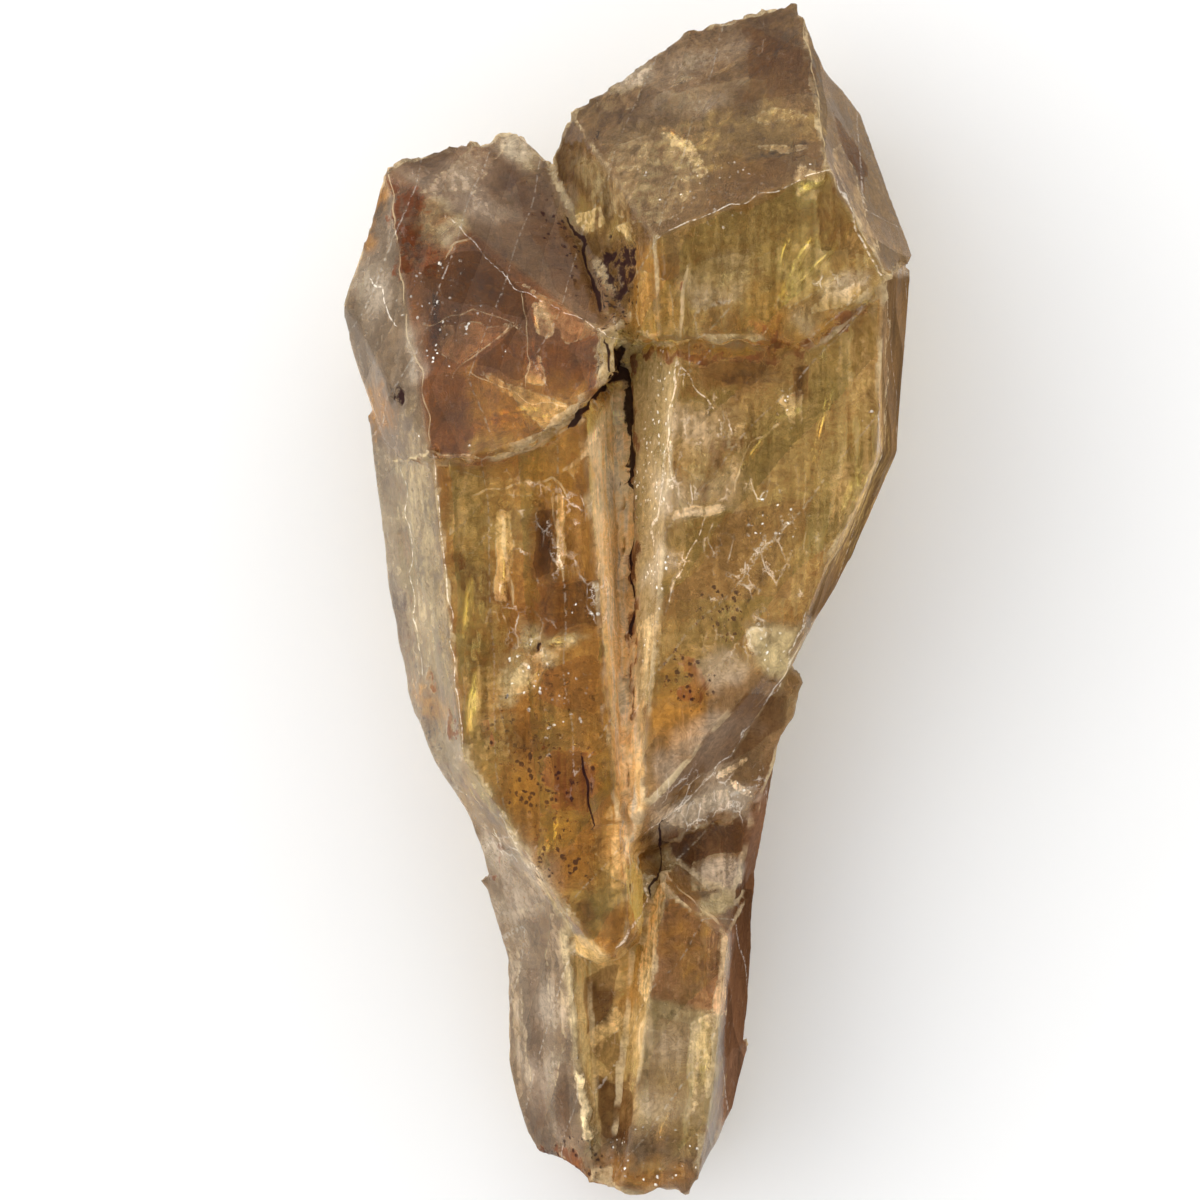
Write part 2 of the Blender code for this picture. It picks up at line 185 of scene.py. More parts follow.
class Graph:
    """A material's nodes, with a short way to add each kind that the finishes use."""

    MIX_FACTOR, MIX_FIRST, MIX_SECOND, MIX_RESULT = 0, 6, 7, 2

    def __init__(self, owner: bpy.types.Material | bpy.types.World) -> None:
        """Starts an empty graph.

        Args:
            owner: the material or world that it is for.
        """
        owner.use_nodes = True
        self.owner = owner
        self.tree = owner.node_tree
        self.tree.nodes.clear()

    def node(self, kind: str, settings: dict[str, Any] | None = None,
             inputs: dict[str | int, Any] | None = None) -> bpy.types.Node:
        """Adds a node.

        Args:
            kind: the node's type.
            settings: its own properties, set first.
            inputs: values or wires for its sockets, by name or number.

        Returns:
            The node.
        """
        made = self.tree.nodes.new(kind)
        for name, value in (settings or {}).items():
            setattr(made, name, value)
        for key, value in (inputs or {}).items():
            if isinstance(value, Wire):
                self.tree.links.new(value.socket, made.inputs[key])
            else:
                made.inputs[key].default_value = value
        return made

    def wire(self, kind: str, settings: dict[str, Any] | None = None,
             inputs: dict[str | int, Any] | None = None, output: str | int = 0) -> Wire:
        """Adds a node and returns one of its outputs.

        Args:
            kind: the node's type.
            settings: its own properties.
            inputs: values or wires for its sockets.
            output: the output's name or number.

        Returns:
            The wire from that output.
        """
        return Wire(self, self.node(kind, settings, inputs).outputs[output])

    def place(self, stretch: Place = (1.0, 1.0, 1.0), turn: float = 0.0) -> Wire:
        """Object coordinates in millimetres.

        Args:
            stretch: factors along the axes; a small one draws a pattern out along that axis.
            turn: angle in degrees that the pattern is turned about Z.

        Returns:
            The coordinates.
        """
        here = self.wire("ShaderNodeTexCoord", output="Object")
        scale = tuple(factor / MM for factor in stretch)
        return self.wire("ShaderNodeMapping", {"vector_type": "POINT"},
                         {"Vector": here, "Rotation": (0, 0, math.radians(turn)), "Scale": scale})

    def number(self, name: str) -> Wire:
        """The surface's own number of that name."""
        return self.wire("ShaderNodeAttribute", {"attribute_name": name}, output="Fac")

    def noise(self, place: Wire, scale: float, detail: float = 3.0, roughness: float = 0.55) -> Wire:
        """Cloudy noise from 0 to 1, with a cell of 1/scale millimetres."""
        return self.wire("ShaderNodeTexNoise", None, {
            "Vector": place, "Scale": scale, "Detail": detail, "Roughness": roughness}, output="Fac")

    def cells(self, place: Wire, scale: float, feature: str = "F1") -> Wire:
        """Distance to the nearest point, or wall, of scattered cells."""
        return self.wire("ShaderNodeTexVoronoi", {"feature": feature},
                         {"Vector": place, "Scale": scale}, output="Distance")

    def mix(self, factor: Wire | float, first: Wire | Colour, second: Wire | Colour) -> Wire:
        """Blends two colours.

        Args:
            factor: share of the second.
            first: colour at 0.
            second: colour at 1.

        Returns:
            The blended colour.
        """
        pair = [value if isinstance(value, Wire) else (*value, 1.0) for value in (first, second)]
        node = self.node(
            "ShaderNodeMix", {"data_type": "RGBA", "clamp_factor": True},
            {self.MIX_FACTOR: factor, self.MIX_FIRST: pair[0], self.MIX_SECOND: pair[1]})
        return Wire(self, node.outputs[self.MIX_RESULT])

    def bump(self, height: Wire, strength: float, depth_mm: float) -> Wire:
        """A normal bent by a height from 0 to 1 that stands for depth_mm."""
        return self.wire("ShaderNodeBump", None, {
            "Height": height, "Strength": strength, "Distance": depth_mm * MM}, output="Normal")

    def finish(self, surface: Wire, volume: Wire | None = None) -> bpy.types.Material:
        """Joins the shaders to the output.

        Args:
            surface: the surface's shader.
            volume: the volume's shader, if there is one.

        Returns:
            The finished material.
        """
        inputs = {"Surface": surface}
        if volume is not None:
            inputs["Volume"] = volume
        self.node("ShaderNodeOutputMaterial", None, inputs)
        return self.owner


# ---------------------------------------------------------------------------- shapes of marks
def distance_to(across: Array, along: Array, start: Plan, end: Plan) -> Array:
    """The distance to a straight stretch: to the foot of the perpendicular, held between its ends.

    Args:
        across: the points' places across.
        along: their places along.
        start: where the stretch begins.
        end: where it ends.

    Returns:
        Millimetres.
    """
    step_x, step_y = end[0] - start[0], end[1] - start[1]
    share = ((across - start[0]) * step_x + (along - start[1]) * step_y) / (step_x ** 2 + step_y ** 2)
    share = np.clip(share, 0.0, 1.0)
    return np.hypot(across - start[0] - share * step_x, along - start[1] - share * step_y)


class Kind(Enum):
    """What a mark on the stone is."""

    SMOKE = "smoke"
    ORANGE = "orange"
    RUST = "rust"
    GOLD = "gold"
    CREAM = "cream"
    FROST = "frost"
    DARK = "dark"
    SPECKS = "specks"
    # sparkle: glints painted white into the colour, painted highlights; also where bright flakes lie inside
    SPARKLE = "sparkle"
    VEINS = "veins"
    FIBRE = "fibre"
    # line and rim: thin lines along edges and ridges, many of them painted highlights
    LINE = "line"
    RIM = "rim"
    CRACK = "crack"
    # pale and deep: facets seen inside, painted as reflections and as shade
    PALE = "pale"
    DEEP = "deep"


THIN_KINDS = (Kind.LINE, Kind.RIM, Kind.CRACK)
FACET_KINDS = (Kind.PALE, Kind.DEEP)


@dataclass(frozen=True)
class Mark:
    """Something seen at one place of the front. soft is the width of its fading edge."""

    kind: Kind
    soft: float = 0.8
    strength: float = 1.0

    def depth(self, across: Array, along: Array) -> Array:
        """How far inside the mark's edge each point is, in millimetres; negative outside."""
        raise NotImplementedError

    def field(self, across: Array, along: Array) -> Array:
        """depth over soft, held between -1 and a ceiling of 2 strength - 1."""
        return np.clip(self.depth(across, along) / self.soft, -1.0, 2.0 * self.strength - 1.0)


@dataclass(frozen=True)
class Patch(Mark):
    """An oval mark."""

    at: Plan = (0.0, 0.0)
    half: Plan = (1.0, 1.0)
    turn: float = 0.0

    def depth(self, across: Array, along: Array) -> Array:
        """(1 - r) times its smaller half width, r being the distance in the oval's own units.

        Args:
            across: the points' places across.
            along: their places along.

        Returns:
            Millimetres, negative outside.
        """
        cosine, sine = math.cos(math.radians(self.turn)), math.sin(math.radians(self.turn))
        right, up = across - self.at[0], along - self.at[1]
        reach = np.hypot((right * cosine + up * sine) / self.half[0],
                         (up * cosine - right * sine) / self.half[1])
        return (1.0 - reach) * min(self.half)


@dataclass(frozen=True)
class Shard(Mark):
    """A many-sided mark."""

    corners: tuple[Plan, ...] = ()

    def depth(self, across: Array, along: Array) -> Array:
        """The distance to its outline. Inside, a line from a point crosses an odd number of sides.

        Args:
            across: the points' places across.
            along: their places along.

        Returns:
            Millimetres, negative outside.
        """
        nearest = np.full(across.shape, np.inf)
        inside = np.zeros(across.shape, bool)
        for start, end in zip(self.corners, self.corners[1:] + self.corners[:1]):
            nearest = np.minimum(nearest, distance_to(across, along, start, end))
            if start[1] != end[1]:
                crossing = start[0] + (along - start[1]) / (end[1] - start[1]) * (end[0] - start[0])
                inside ^= ((start[1] > along) != (end[1] > along)) & (across < crossing)
        return np.where(inside, nearest, -nearest)


@dataclass(frozen=True)
class Trace(Mark):
    """A line through points."""

    points: tuple[Plan, ...] = ()
    width: float = 0.4

    def depth(self, across: Array, along: Array) -> Array:
        """Half its width less the distance to its nearest stretch.

        Args:
            across: the points' places across.
            along: their places along.

        Returns:
            Millimetres, negative outside.
        """
        nearest = np.full(across.shape, np.inf)
        for start, end in zip(self.points, self.points[1:]):
            nearest = np.minimum(nearest, distance_to(across, along, start, end))
        return self.width / 2 - nearest

    def sides(self, across: Array, along: Array) -> tuple[Array, Array]:
        """How far off the line each point is, and on which side.

        Args:
            across: the points' places across.
            along: their places along.

        Returns:
            The distance to the line, and the same with a minus on the line's right hand.
        """
        nearest, signed = np.full(across.shape, np.inf), np.zeros(across.shape)
        for start, end in zip(self.points, self.points[1:]):
            distance = distance_to(across, along, start, end)
            turn = (end[0] - start[0]) * (along - start[1]) - (end[1] - start[1]) * (across - start[0])
            signed = np.where(distance < nearest, np.copysign(distance, turn), signed)
            nearest = np.minimum(nearest, distance)
        return nearest, signed


@dataclass(frozen=True)
class Zone(Shard):
    """One crystal face, or part of one, with the tone and the haze of the stone behind it."""

    kind: Kind = Kind.CREAM
    soft: float = 0.3
    tone: Colour = (0.3, 0.2, 0.1)
    haze: float = 0.55


def several(shape: type[Mark], kind: Kind, *rows: tuple[Any, ...]) -> tuple[Mark, ...]:
    """Makes marks of one shape and kind.

    Args:
        shape: their class.
        kind: their kind.
        rows: each mark's softness and strength, then what its shape adds.

    Returns:
        The marks, in the order of the rows.
    """
    return tuple(shape(kind, *row) for row in rows)


def several_lines(kind: Kind, *rows: tuple[float, tuple[Plan, ...]]) -> tuple[Trace, ...]:
    """Makes thin lines of one kind, each from a width and its points."""
    return tuple(Trace(kind, width=width, points=points) for width, points in rows)


def several_facets(kind: Kind, *rows: tuple[float, tuple[Plan, ...]]) -> tuple[Shard, ...]:
    """Makes inner facets of one kind, each from a strength and its corners."""
    return tuple(Shard(kind, strength=strength, corners=corners) for strength, corners in rows)


# ---------------------------------------------------------------------------- faces, from above
ZONES = (
    # lower crystals
    Zone(tone=(0.3, 0.19, 0.1), haze=0.6, corners=(
        (-4, -18), (9, -18), (10.5, -37), (6, -50), (-8, -49), (-5, -27))),
    Zone(tone=(0.18, 0.08, 0.035), haze=0.75, corners=(
        (2, -18.5), (12.6, -12.5), (12, -22), (10.5, -35), (8.6, -44), (7.4, -44), (8.6, -27))),
    Zone(tone=(0.15, 0.07, 0.035), haze=2.6, corners=(
        (8.8, -27), (9.6, -20), (12.6, -12.5), (12.6, -24), (11.2, -36), (9.4, -46), (7.7, -46), (8.4, -34))),
    Zone(tone=(0.24, 0.16, 0.095), haze=1.1, corners=(
        (-13, -19), (-4.7, -26), (-4.6, -31), (-2.6, -46), (-8.8, -46), (-10.6, -38), (-10, -30))),
    Zone(tone=(0.31, 0.21, 0.125), haze=1.0, corners=(
        (-13.5, -18.5), (-8.2, -21.5), (-4.8, -27), (-6.5, -30.5), (-10.6, -29))),
    Zone(tone=(0.68, 0.42, 0.155), haze=1.4, corners=(
        (-4.6, -28), (0.4, -29.5), (2.9, -23), (0.9, -44), (-2.4, -46), (-4, -38))),
    Zone(tone=(0.4, 0.19, 0.085), haze=0.62, corners=(
        (3.1, -22.9), (8.6, -27.8), (8, -35), (1.9, -33.5))),
    Zone(tone=(0.58, 0.4, 0.2), haze=0.62, corners=(
        (1.9, -33.5), (8, -35), (7.3, -40.5), (5.8, -50), (0, -50), (0.7, -42))),
    Zone(tone=(0.3, 0.19, 0.11), haze=0.66, soft=1.5, corners=(
        (-10, -45.5), (10, -44), (6, -52), (-8, -52))),
    # left prism
    Zone(tone=(0.57, 0.245, 0.055), haze=0.48, corners=(
        (-16.5, 12.4), (-1, 19.5), (0.2, -10), (1.6, -26), (-1, -30.5), (-4.8, -27),
        (-8.5, -21.7), (-13.9, -12.3))),
    # the seam strip: tone raised to make up for the shade in the seam, painted light
    Zone(tone=(0.95, 0.66, 0.36), haze=1.4, soft=0.5, corners=(
        (-3.4, 13), (0.2, 19.5), (0.8, -2), (1.6, -18), (-0.2, -22), (-1.9, -4))),
    Zone(tone=(0.38, 0.29, 0.185), haze=0.9, corners=(
        (-22.5, 13), (-16.5, 12.4), (-13.8, -12.4), (-14.2, -18), (-17, -14), (-21, -3))),
    # right prism
    Zone(tone=(0.59, 0.335, 0.12), haze=0.5, corners=(
        (3.9, 21), (16.5, 21.6), (22.2, 27.2), (21.5, 12.4), (15.2, -1.4), (11.4, -7), (1.3, -19.2),
        (2, 0))),
    # right of the seam: tone raised to make up for the shade there, painted light
    Zone(tone=(0.6, 0.42, 0.2), haze=1.3, corners=(
        (0.3, 21), (4.2, 21), (3.1, 6), (2.1, -3), (1, -12), (0.5, 0))),
    Zone(tone=(0.24, 0.135, 0.06), haze=1.5, soft=1.2, corners=(
        (1.5, -9), (13, -5), (13.5, -12), (9.6, -17), (1.5, -19.5))),
    Zone(tone=(0.15, 0.08, 0.03), haze=2.6, corners=(
        (21.1, 27), (24, 27), (23.5, 11), (16.5, -2), (15, -1.6), (21.2, 12.4))),
    Zone(tone=(0.34, 0.23, 0.105), haze=1.5, corners=(
        (9.6, -1.8), (14.6, -2.2), (13.2, -7), (10.6, -5.6))),
    # left head
    Zone(tone=(0.25, 0.072, 0.012), haze=0.46, corners=(
        (-20.1, 36.5), (-16.7, 12.2), (-12.5, 11.2), (-8.1, 12.3), (-4.2, 15.3), (-0.9, 18.6),
        (-1.3, 21.3))),
    Zone(tone=(0.22, 0.122, 0.06), haze=0.7, corners=(
        (-20.3, 36.7), (-1.3, 21.2), (-2.2, 25), (-7, 37.2), (-9.2, 39.8))),
    Zone(tone=(0.23, 0.165, 0.105), haze=1.0, corners=(
        (-20.1, 36.7), (-24.2, 25), (-22.3, 14), (-19, 11.2), (-16.7, 12.2))),
    # right head
    Zone(tone=(0.25, 0.15, 0.066), haze=0.5, corners=(
        (14.4, 50.3), (16.8, 35.9), (2.2, 30.2), (-4.8, 40.4), (5, 47.8))),
    Zone(tone=(0.22, 0.125, 0.05), haze=0.48, corners=(
        (2.3, 30.2), (-4.7, 40.4), (-7.6, 37.2), (-3, 26.5), (-0.6, 22.4))),
    Zone(tone=(0.43, 0.26, 0.085), haze=0.52, corners=(
        (2.2, 30.2), (16.8, 35.9), (22, 27), (16.6, 21.6), (12.9, 20.2), (8, 20.3), (-2.6, 21),
        (-0.6, 22.5))),
    Zone(tone=(0.19, 0.115, 0.05), haze=1.6, corners=(
        (14.4, 50.3), (16.8, 35.9), (22, 27), (24.2, 29), (20.6, 41))),
)

# ---------------------------------------------------------------------------- marks, from above
# Each row is a mark: softness, strength, then a patch's middle, half widths and turn, a shard's
# corners, or a trace's points and width. They run from the heads down to the lower crystals.
FRONT_MARKS = (
    *several(Patch, Kind.FROST,
        (1.5, 0.55, (-15.6, 35), (4, 1.6), -38), (1, 1, (-9.6, 37.6), (2.4, 1.3), -55),
        (1.6, 0.3, (-12.2, 35.4), (2.5, 1.1), -45), (1, 0.5, (-6.2, 33.6), (3.6, 0.9), -62),
        (0.7, 0.85, (-17.9, 20), (0.7, 2.2), -8), (1.6, 0.5, (-20.8, 28.5), (1.2, 5), -12),
        (0.9, 0.7, (0.2, 43.3), (2.2, 1.1), 28), (1.8, 0.36, (5.4, 43.6), (4.2, 2.4), 40),
        (1.3, 0.42, (7.6, 26.8), (2.4, 1.4), 10), (0.8, 0.35, (16.9, 25), (2.4, 0.9), 40),
        (2, 0.42, (6, 10.8), (3, 4.6), -8), (0.7, 0.8, (6.2, 7.1), (2.7, 0.6), 4),
        (0.8, 0.85, (2.4, 1.8), (0.8, 3.2), -4), (1.2, 0.6, (8, -6.1), (1.7, 1.4), 30),
        (1.6, 0.45, (6.4, -12.6), (3.4, 2), 35), (1.6, 0.6, (-9.4, -23.4), (3, 3.6), 30),
        (1.5, 0.55, (-7.6, -34), (1.4, 6.5), 8), (1.6, 0.3, (3.6, -39.6), (2.2, 4), 8),
        (0.9, 0.4, (7.4, -23.2), (1.7, 1.2), 10), (1, 0.8, (5.4, -17.6), (4.2, 1.3), 14)),
    *several(Patch, Kind.CREAM,
        (1, 0.7, (-9.4, 37.9), (2.2, 1.1), -55), (0.9, 0.55, (-15.6, 31.4), (1.7, 1.9), 20),
        (1.6, 0.3, (1.9, 35.8), (3.4, 3.2), 0), (1, 0.5, (-2.2, 34.8), (1.1, 2.4), 40),
        (1.2, 0.5, (-17.2, 3.4), (1, 8.5), 4), (0.6, 0.85, (-8.2, -3.4), (1, 1.3), 0),
        (0.6, 0.8, (-5.3, -3.5), (1.4, 0.7), 10), (1, 0.95, (-9.4, -6.4), (1.2, 2.6), -12),
        (0.5, 0.95, (-6.8, -4.9), (0.7, 0.5), 0), (0.4, 0.95, (7.3, -25.7), (1.4, 1), 0)),
    *several(Patch, Kind.SMOKE,
        (1.4, 0.42, (-9, 29.8), (3.8, 1.9), -52), (1.5, 0.62, (-7.4, 31.4), (5, 1.5), -58),
        (1.6, 0.92, (-12.2, 26.6), (3.8, 2.9), -10), (1.4, 0.8, (-15.6, 24), (2.2, 3.4), 5),
        (1.2, 0.75, (-8.2, 22.8), (2.6, 1.7), -40), (0.6, 0.7, (-14.3, 15.1), (1.2, 0.9), 0),
        (0.7, 0.6, (-3.6, 20.6), (1.3, 0.7), -20), (0.9, 0.5, (1.2, 40.7), (2, 1.3), 25),
        (1.5, 0.72, (12.2, 45.6), (2.2, 3.6), 30), (0.7, 0.62, (9.7, 41.6), (1.1, 1.3), 0),
        (1.2, 0.5, (11.8, 37.2), (3.2, 2.2), 20), (1.1, 0.55, (-4.9, 36.4), (1, 2.3), 35),
        (1, 0.52, (7.1, 23.4), (2, 1.4), 0), (0.7, 0.65, (18.5, 35.4), (0.9, 2.1), -25),
        (0.9, 0.82, (-6.9, 4.2), (1, 4.2), 4), (1.2, 0.72, (-5.1, -0.6), (2.6, 2.6), 0),
        (0.4, 0.7, (-3.65, -25.9), (0.6, 0.6), 0), (0.6, 0.7, (7.2, 11.7), (0.7, 1), 0),
        (0.6, 0.7, (6.4, 9), (0.8, 0.7), 0), (0.6, 0.65, (9.2, 13.1), (0.7, 0.9), 0),
        (1.2, 0.72, (9.5, 18.6), (2.6, 1.3), 5), (0.8, 0.8, (14.4, 18.1), (0.8, 1.6), 0),
        (1, 0.5, (-6.6, -43.6), (1.8, 2.2), 10), (0.4, 0.65, (5.1, -28.7), (0.6, 0.5), 0),
        (1.2, 0.85, (4.7, -21.6), (1.8, 2.6), 20), (1.4, 0.8, (10, -28), (1, 7), 4)),
    *several(Patch, Kind.SPECKS,
        (1.5, 0.75, (-5.4, 29.6), (5, 1.2), -62), (0.8, 0.9, (-0.7, 25.4), (1.8, 3.6), 4),
        (2.4, 0.9, (-6.4, -15.2), (4.6, 3.4), 0), (2, 0.7, (-5.6, -21.2), (3, 3.6), 15),
        (1.2, 0.55, (-9.6, -10.4), (2.6, 2.8), 0), (1.4, 0.85, (7.8, -1.2), (2.2, 2.8), 0),
        (1.2, 0.95, (5.4, -6.4), (2.4, 2.6), 0), (1, 0.7, (-4.6, -46.8), (3.4, 1.8), 0)),
    *several_lines(Kind.CRACK,
        (0.29, ((-4.9, 31.7), (-4.2, 30.6), (-3.4, 28.9), (-2.9, 26.8), (-2.3, 24.4))),
        (0.42, ((-4.6, 14.7), (-3.6, 15.6), (-2.2, 16.9), (-1, 18.4))),
        (0.21, ((-1.7, 21.4), (-1.4, 19))), (0.21, ((-3.8, -13.6), (-3.3, -16.4), (-3.1, -19.2))),
        (0.8, ((-0.45, 20.6), (-0.2, 17.4), (0, 14.6))), (0.48, ((0, 14.6), (0.1, 12.2), (0.2, 10.2))),
        (0.11, ((0.15, 10.4), (0.25, 4), (0.3, -3))),
        (0.2, ((3, -18.9), (2.8, -20.8), (2.4, -22.9), (1.9, -25)))),
    *several(Shard, Kind.SMOKE,
        (0.5, 0.85, ((-19.9, 35.6), (-17.1, 33.7), (-16.4, 29.8), (-18.3, 26.6))),
        (0.7, 0.9, ((-12.3, 20), (-9, 19.3), (-9.6, 17.4))),
        (0.5, 0.72, ((-3.6, -32), (-0.3, -32.8), (-2.2, -36.4))),
        (0.5, 0.7, ((-2.9, -40.6), (0.7, -40), (0.2, -46), (-1.8, -45.8))),
        (0.5, 0.85, ((1.3, -19.8), (3.7, -19.6), (3.3, -22.8), (2.4, -24.6), (1.7, -22.6)))),
    Shard(Kind.RUST, 0.8, 0.62, ((-19.9, 35.6), (-17.1, 33.7), (-17.2, 30.1), (-18.6, 26.6))),
    *several(Patch, Kind.RUST,
        (1.2, 0.62, (-17.6, 28.6), (1.7, 1.6), 20), (1, 0.55, (12, 22), (1.5, 1.5), 0),
        (0.4, 0.75, (-16.4, -6.8), (0.4, 0.8), 15), (0.4, 0.85, (-14.8, -11), (0.5, 1.3), 10),
        (0.9, 0.95, (-4.7, -15.2), (2.2, 2.6), 10), (0.6, 0.7, (5.4, -7), (1.2, 1.8), 10),
        (0.9, 0.8, (-5.6, -47.4), (2.8, 1.2), -15)),
    Shard(Kind.FROST, 0.4, 0.75, ((-16.2, 31.2), (-14.4, 31.6), (-13.6, 30.3), (-14.6, 29.1))),
    # cream lines on edges and ledge lips: painted highlights, partly pale wear
    *several_lines(Kind.RIM,
        (0.15, ((-15.1, 28.7), (-14.4, 29.7), (-13.2, 30))),
        (0.12, ((-14.6, 18.7), (-12.6, 20.4), (-9.8, 22.6))),
        (0.08, ((-16.7, 22.8), (-12.9, 24.2), (-10, 23.3), (-9, 22.4))),
        (0.08, ((-13, 18.8), (-7.9, 16.4), (-4.4, 16.1))),
        (0.07, ((-8.9, 25.2), (-8.3, 21.2), (-8.4, 18))),
        (0.18, ((-19, 11.4), (-16.3, 12.1), (-12.2, 11.7), (-8.3, 12.4), (-6.3, 13.3), (-4.3, 14.9),
            (-2.3, 17.1), (-1.2, 18.3))),
        (0.1, ((-19.8, 35.5), (-19, 28.5), (-18.3, 21.8), (-17.1, 18), (-16.4, 12.2))),
        (0.32, ((5, 27.4), (4.6, 24.6), (4.3, 22))),
        (0.13, ((14.6, 49.2), (15.8, 42.6), (16.8, 35.8), (19.4, 31.4), (21.8, 27))),
        (0.17, ((-12.6, 8.7), (-9.5, 9.5), (-6.2, 9.9), (-5.2, 8.5))),
        (0.39, ((-5, 10.8), (-3.2, 12.3), (-1.5, 14.2))),
        (0.35, ((-10.6, 6.6), (-10.1, 3), (-9.6, -0.2))), (0.22, ((-6.2, 8.4), (-5.9, 5.2), (-5.4, 1.8))),
        (0.15, ((12.5, 14.5), (10.6, 13.2), (9.5, 11.3), (9, 9.3))), (0.11, ((14.8, 10.5), (14.8, 4.2))),
        (0.26, ((8.3, -28), (7.9, -32.4), (7.5, -36))),
        (0.15, ((3.1, -23.2), (5.6, -25.4), (8.3, -27.9))),
        (0.13, ((2.9, -24.4), (1.9, -31), (0.9, -38)))),
    # sparkle: where white glints are painted into the colour, and where bright flakes lie inside
    *several(Patch, Kind.SPARKLE,
        (1.5, 0.5, (-15.6, 24.4), (3.2, 3.4), 0), (0.4, 1, (-12.9, 23.7), (0.5, 0.4), 0),
        (0.4, 1, (-10.1, 20.4), (0.5, 0.6), 0), (0.5, 0.9, (-15.6, 20), (1.3, 1.2), 0),
        (0.4, 1, (-17, 13.6), (0.7, 0.9), 0), (0.4, 1, (-13, 13.1), (0.5, 0.4), 0),
        (0.5, 0.95, (1.8, 35.6), (0.6, 0.5), 0), (2, 0.42, (7.2, 33.7), (3.4, 2.6), 0),
        (0.4, 0.95, (15.2, 35.6), (0.7, 0.4), 0), (0.4, 1, (-15.2, 9.1), (0.9, 0.6), 0),
        (0.8, 1, (-4, -1.2), (1.3, 0.9), 0), (1, 0.6, (-8.6, -6.2), (2, 2.6), 0),
        (1.5, 0.45, (-5.4, -9.6), (2.6, 3.2), 0), (1.2, 0.85, (2.4, 13), (1.4, 6.5), -8),
        (0.6, 1, (2.5, 2.2), (1, 3.2), 0), (0.5, 0.9, (1.8, -3.6), (0.6, 1.9), 0),
        (0.9, 0.85, (13.6, 15.7), (1.6, 1.4), 0), (0.4, 0.9, (20.4, 15.3), (0.8, 0.5), 0),
        (1.4, 0.8, (11.7, 6.8), (2.4, 2.4), 0), (0.8, 0.5, (12, -4.2), (1.6, 1.6), 0),
        (0.5, 0.9, (9.4, -16), (0.9, 0.8), 0), (1.2, 0.6, (2, -46.6), (4, 2.2), 0)),
    Shard(Kind.ORANGE, 1.2, 0.8, ((-13.6, 18.9), (-3.1, 18), (-6, 13.6), (-12.6, 12))),
    *several(Patch, Kind.GOLD,
        (0.8, 0.9, (-11.2, 12.9), (2, 0.8), 3), (0.8, 0.85, (-5.4, 16.3), (1.6, 0.9), 38),
        (1.8, 0.5, (9.4, 38.6), (4.4, 2.2), 15), (1.2, 0.6, (13.2, 39.4), (2.6, 1.4), 5),
        (0.7, 0.8, (15.4, 33.9), (1.4, 0.8), 20), (0.9, 0.8, (-3.5, 32.2), (1, 1.3), 30),
        (0.9, 0.85, (-0.8, 30.8), (1.3, 1.1), 20), (1.4, 0.8, (14.3, 28), (2.8, 2.4), 15),
        (1.6, 0.75, (-11.6, 7), (4, 3.6), 0), (2.2, 0.62, (-12.4, -4), (2, 9.5), 6),
        (1.2, 0.8, (-2.6, -24.6), (2.2, 2.6), 12), (0.8, 0.7, (13.4, 15.4), (1.4, 1.4), 0),
        (3, 0.5, (15.5, 11), (4.5, 7), -10), (1.6, 0.6, (4.6, -42.6), (2, 3), 8),
        (0.8, 0.55, (6.5, -38.6), (0.9, 2.4), 5)),
    # white lines, mostly painted highlights along edges, ridges and the lower tip; some are pale lines in the
    # stone
    *several_lines(Kind.LINE,
        (0.1, ((-21.3, 26.4), (-20.2, 24.7), (-19.5, 23))),
        (0.05, ((-15.3, 32), (-12.4, 29.2), (-9, 25.8), (-4.8, 23.7), (-0.8, 21.6))),
        (0.19, ((17.8, 34.6), (19.2, 31.2), (21.1, 26.9))), (0.1, ((2.2, 30.2), (9.2, 33), (16.7, 35.8))),
        (0.07, ((-18.8, 11), (-18.2, 3), (-17.2, -6))),
        (0.1, ((-16.3, 11.6), (-15.3, 2), (-14.3, -7.6), (-13.8, -12.2))),
        (0.2, ((1.8, -24.2), (1.4, -25.6), (0.4, -27.6), (-0.8, -29.2))),
        (0.12, ((4.1, 19.8), (3.4, 12.9), (2.8, 9), (2.1, 4.6))),
        (0.12, ((4.2, 19.8), (5.6, 17.8), (7.2, 15.7))), (0.12, ((6.4, 6.2), (4.4, 2.2), (3, -0.9))),
        (0.11, ((15, -1.4), (12.6, -7.4), (8.4, -13.2), (4.4, -17.4), (1.8, -19.4)))),
    *several(Patch, Kind.DARK,
        (0.4, 0.75, (-19, 17), (0.42, 1.1), 5), (0.9, 0.62, (-0.7, 27.6), (1.25, 2.7), 4),
        (0.25, 0.9, (-7.6, -4.2), (0.35, 0.45), 0)),
    *several(Trace, Kind.ORANGE,
        (0.8, 0.6, ((-20.2, 35.4), (-21.6, 31.5), (-22.6, 28)), 0.9),
        (1, 0.75, ((2, 21.2), (9.9, 20.8), (14, 21.3), (16.9, 22.8)), 1.5),
        (0.8, 0.95, ((2.4, -23.2), (1.2, -28.6), (-0.1, -34)), 1.3),
        (1, 0.75, ((1.7, -18.2), (1.3, -21), (0.5, -26.5)), 0.7)),
    *several(Patch, Kind.ORANGE,
        (0.9, 0.55, (-20.9, 15.6), (0.9, 1.6), 10), (0.9, 0.75, (2.3, 24.9), (1.9, 4.2), 8),
        (1.3, 0.9, (11.6, 23.4), (1.8, 3.1), -8), (0.7, 0.7, (-16.6, -8.6), (0.8, 1.6), 25),
        (1.4, 0.6, (-8.2, 9.6), (4.4, 1.8), 10), (1.2, 0.85, (-8.6, -16.4), (2.2, 1.8), -20),
        (1, 0.95, (-2.6, -15.2), (1.2, 2.9), 0), (1.8, 0.7, (-5, -20.5), (3.4, 4.2), 12),
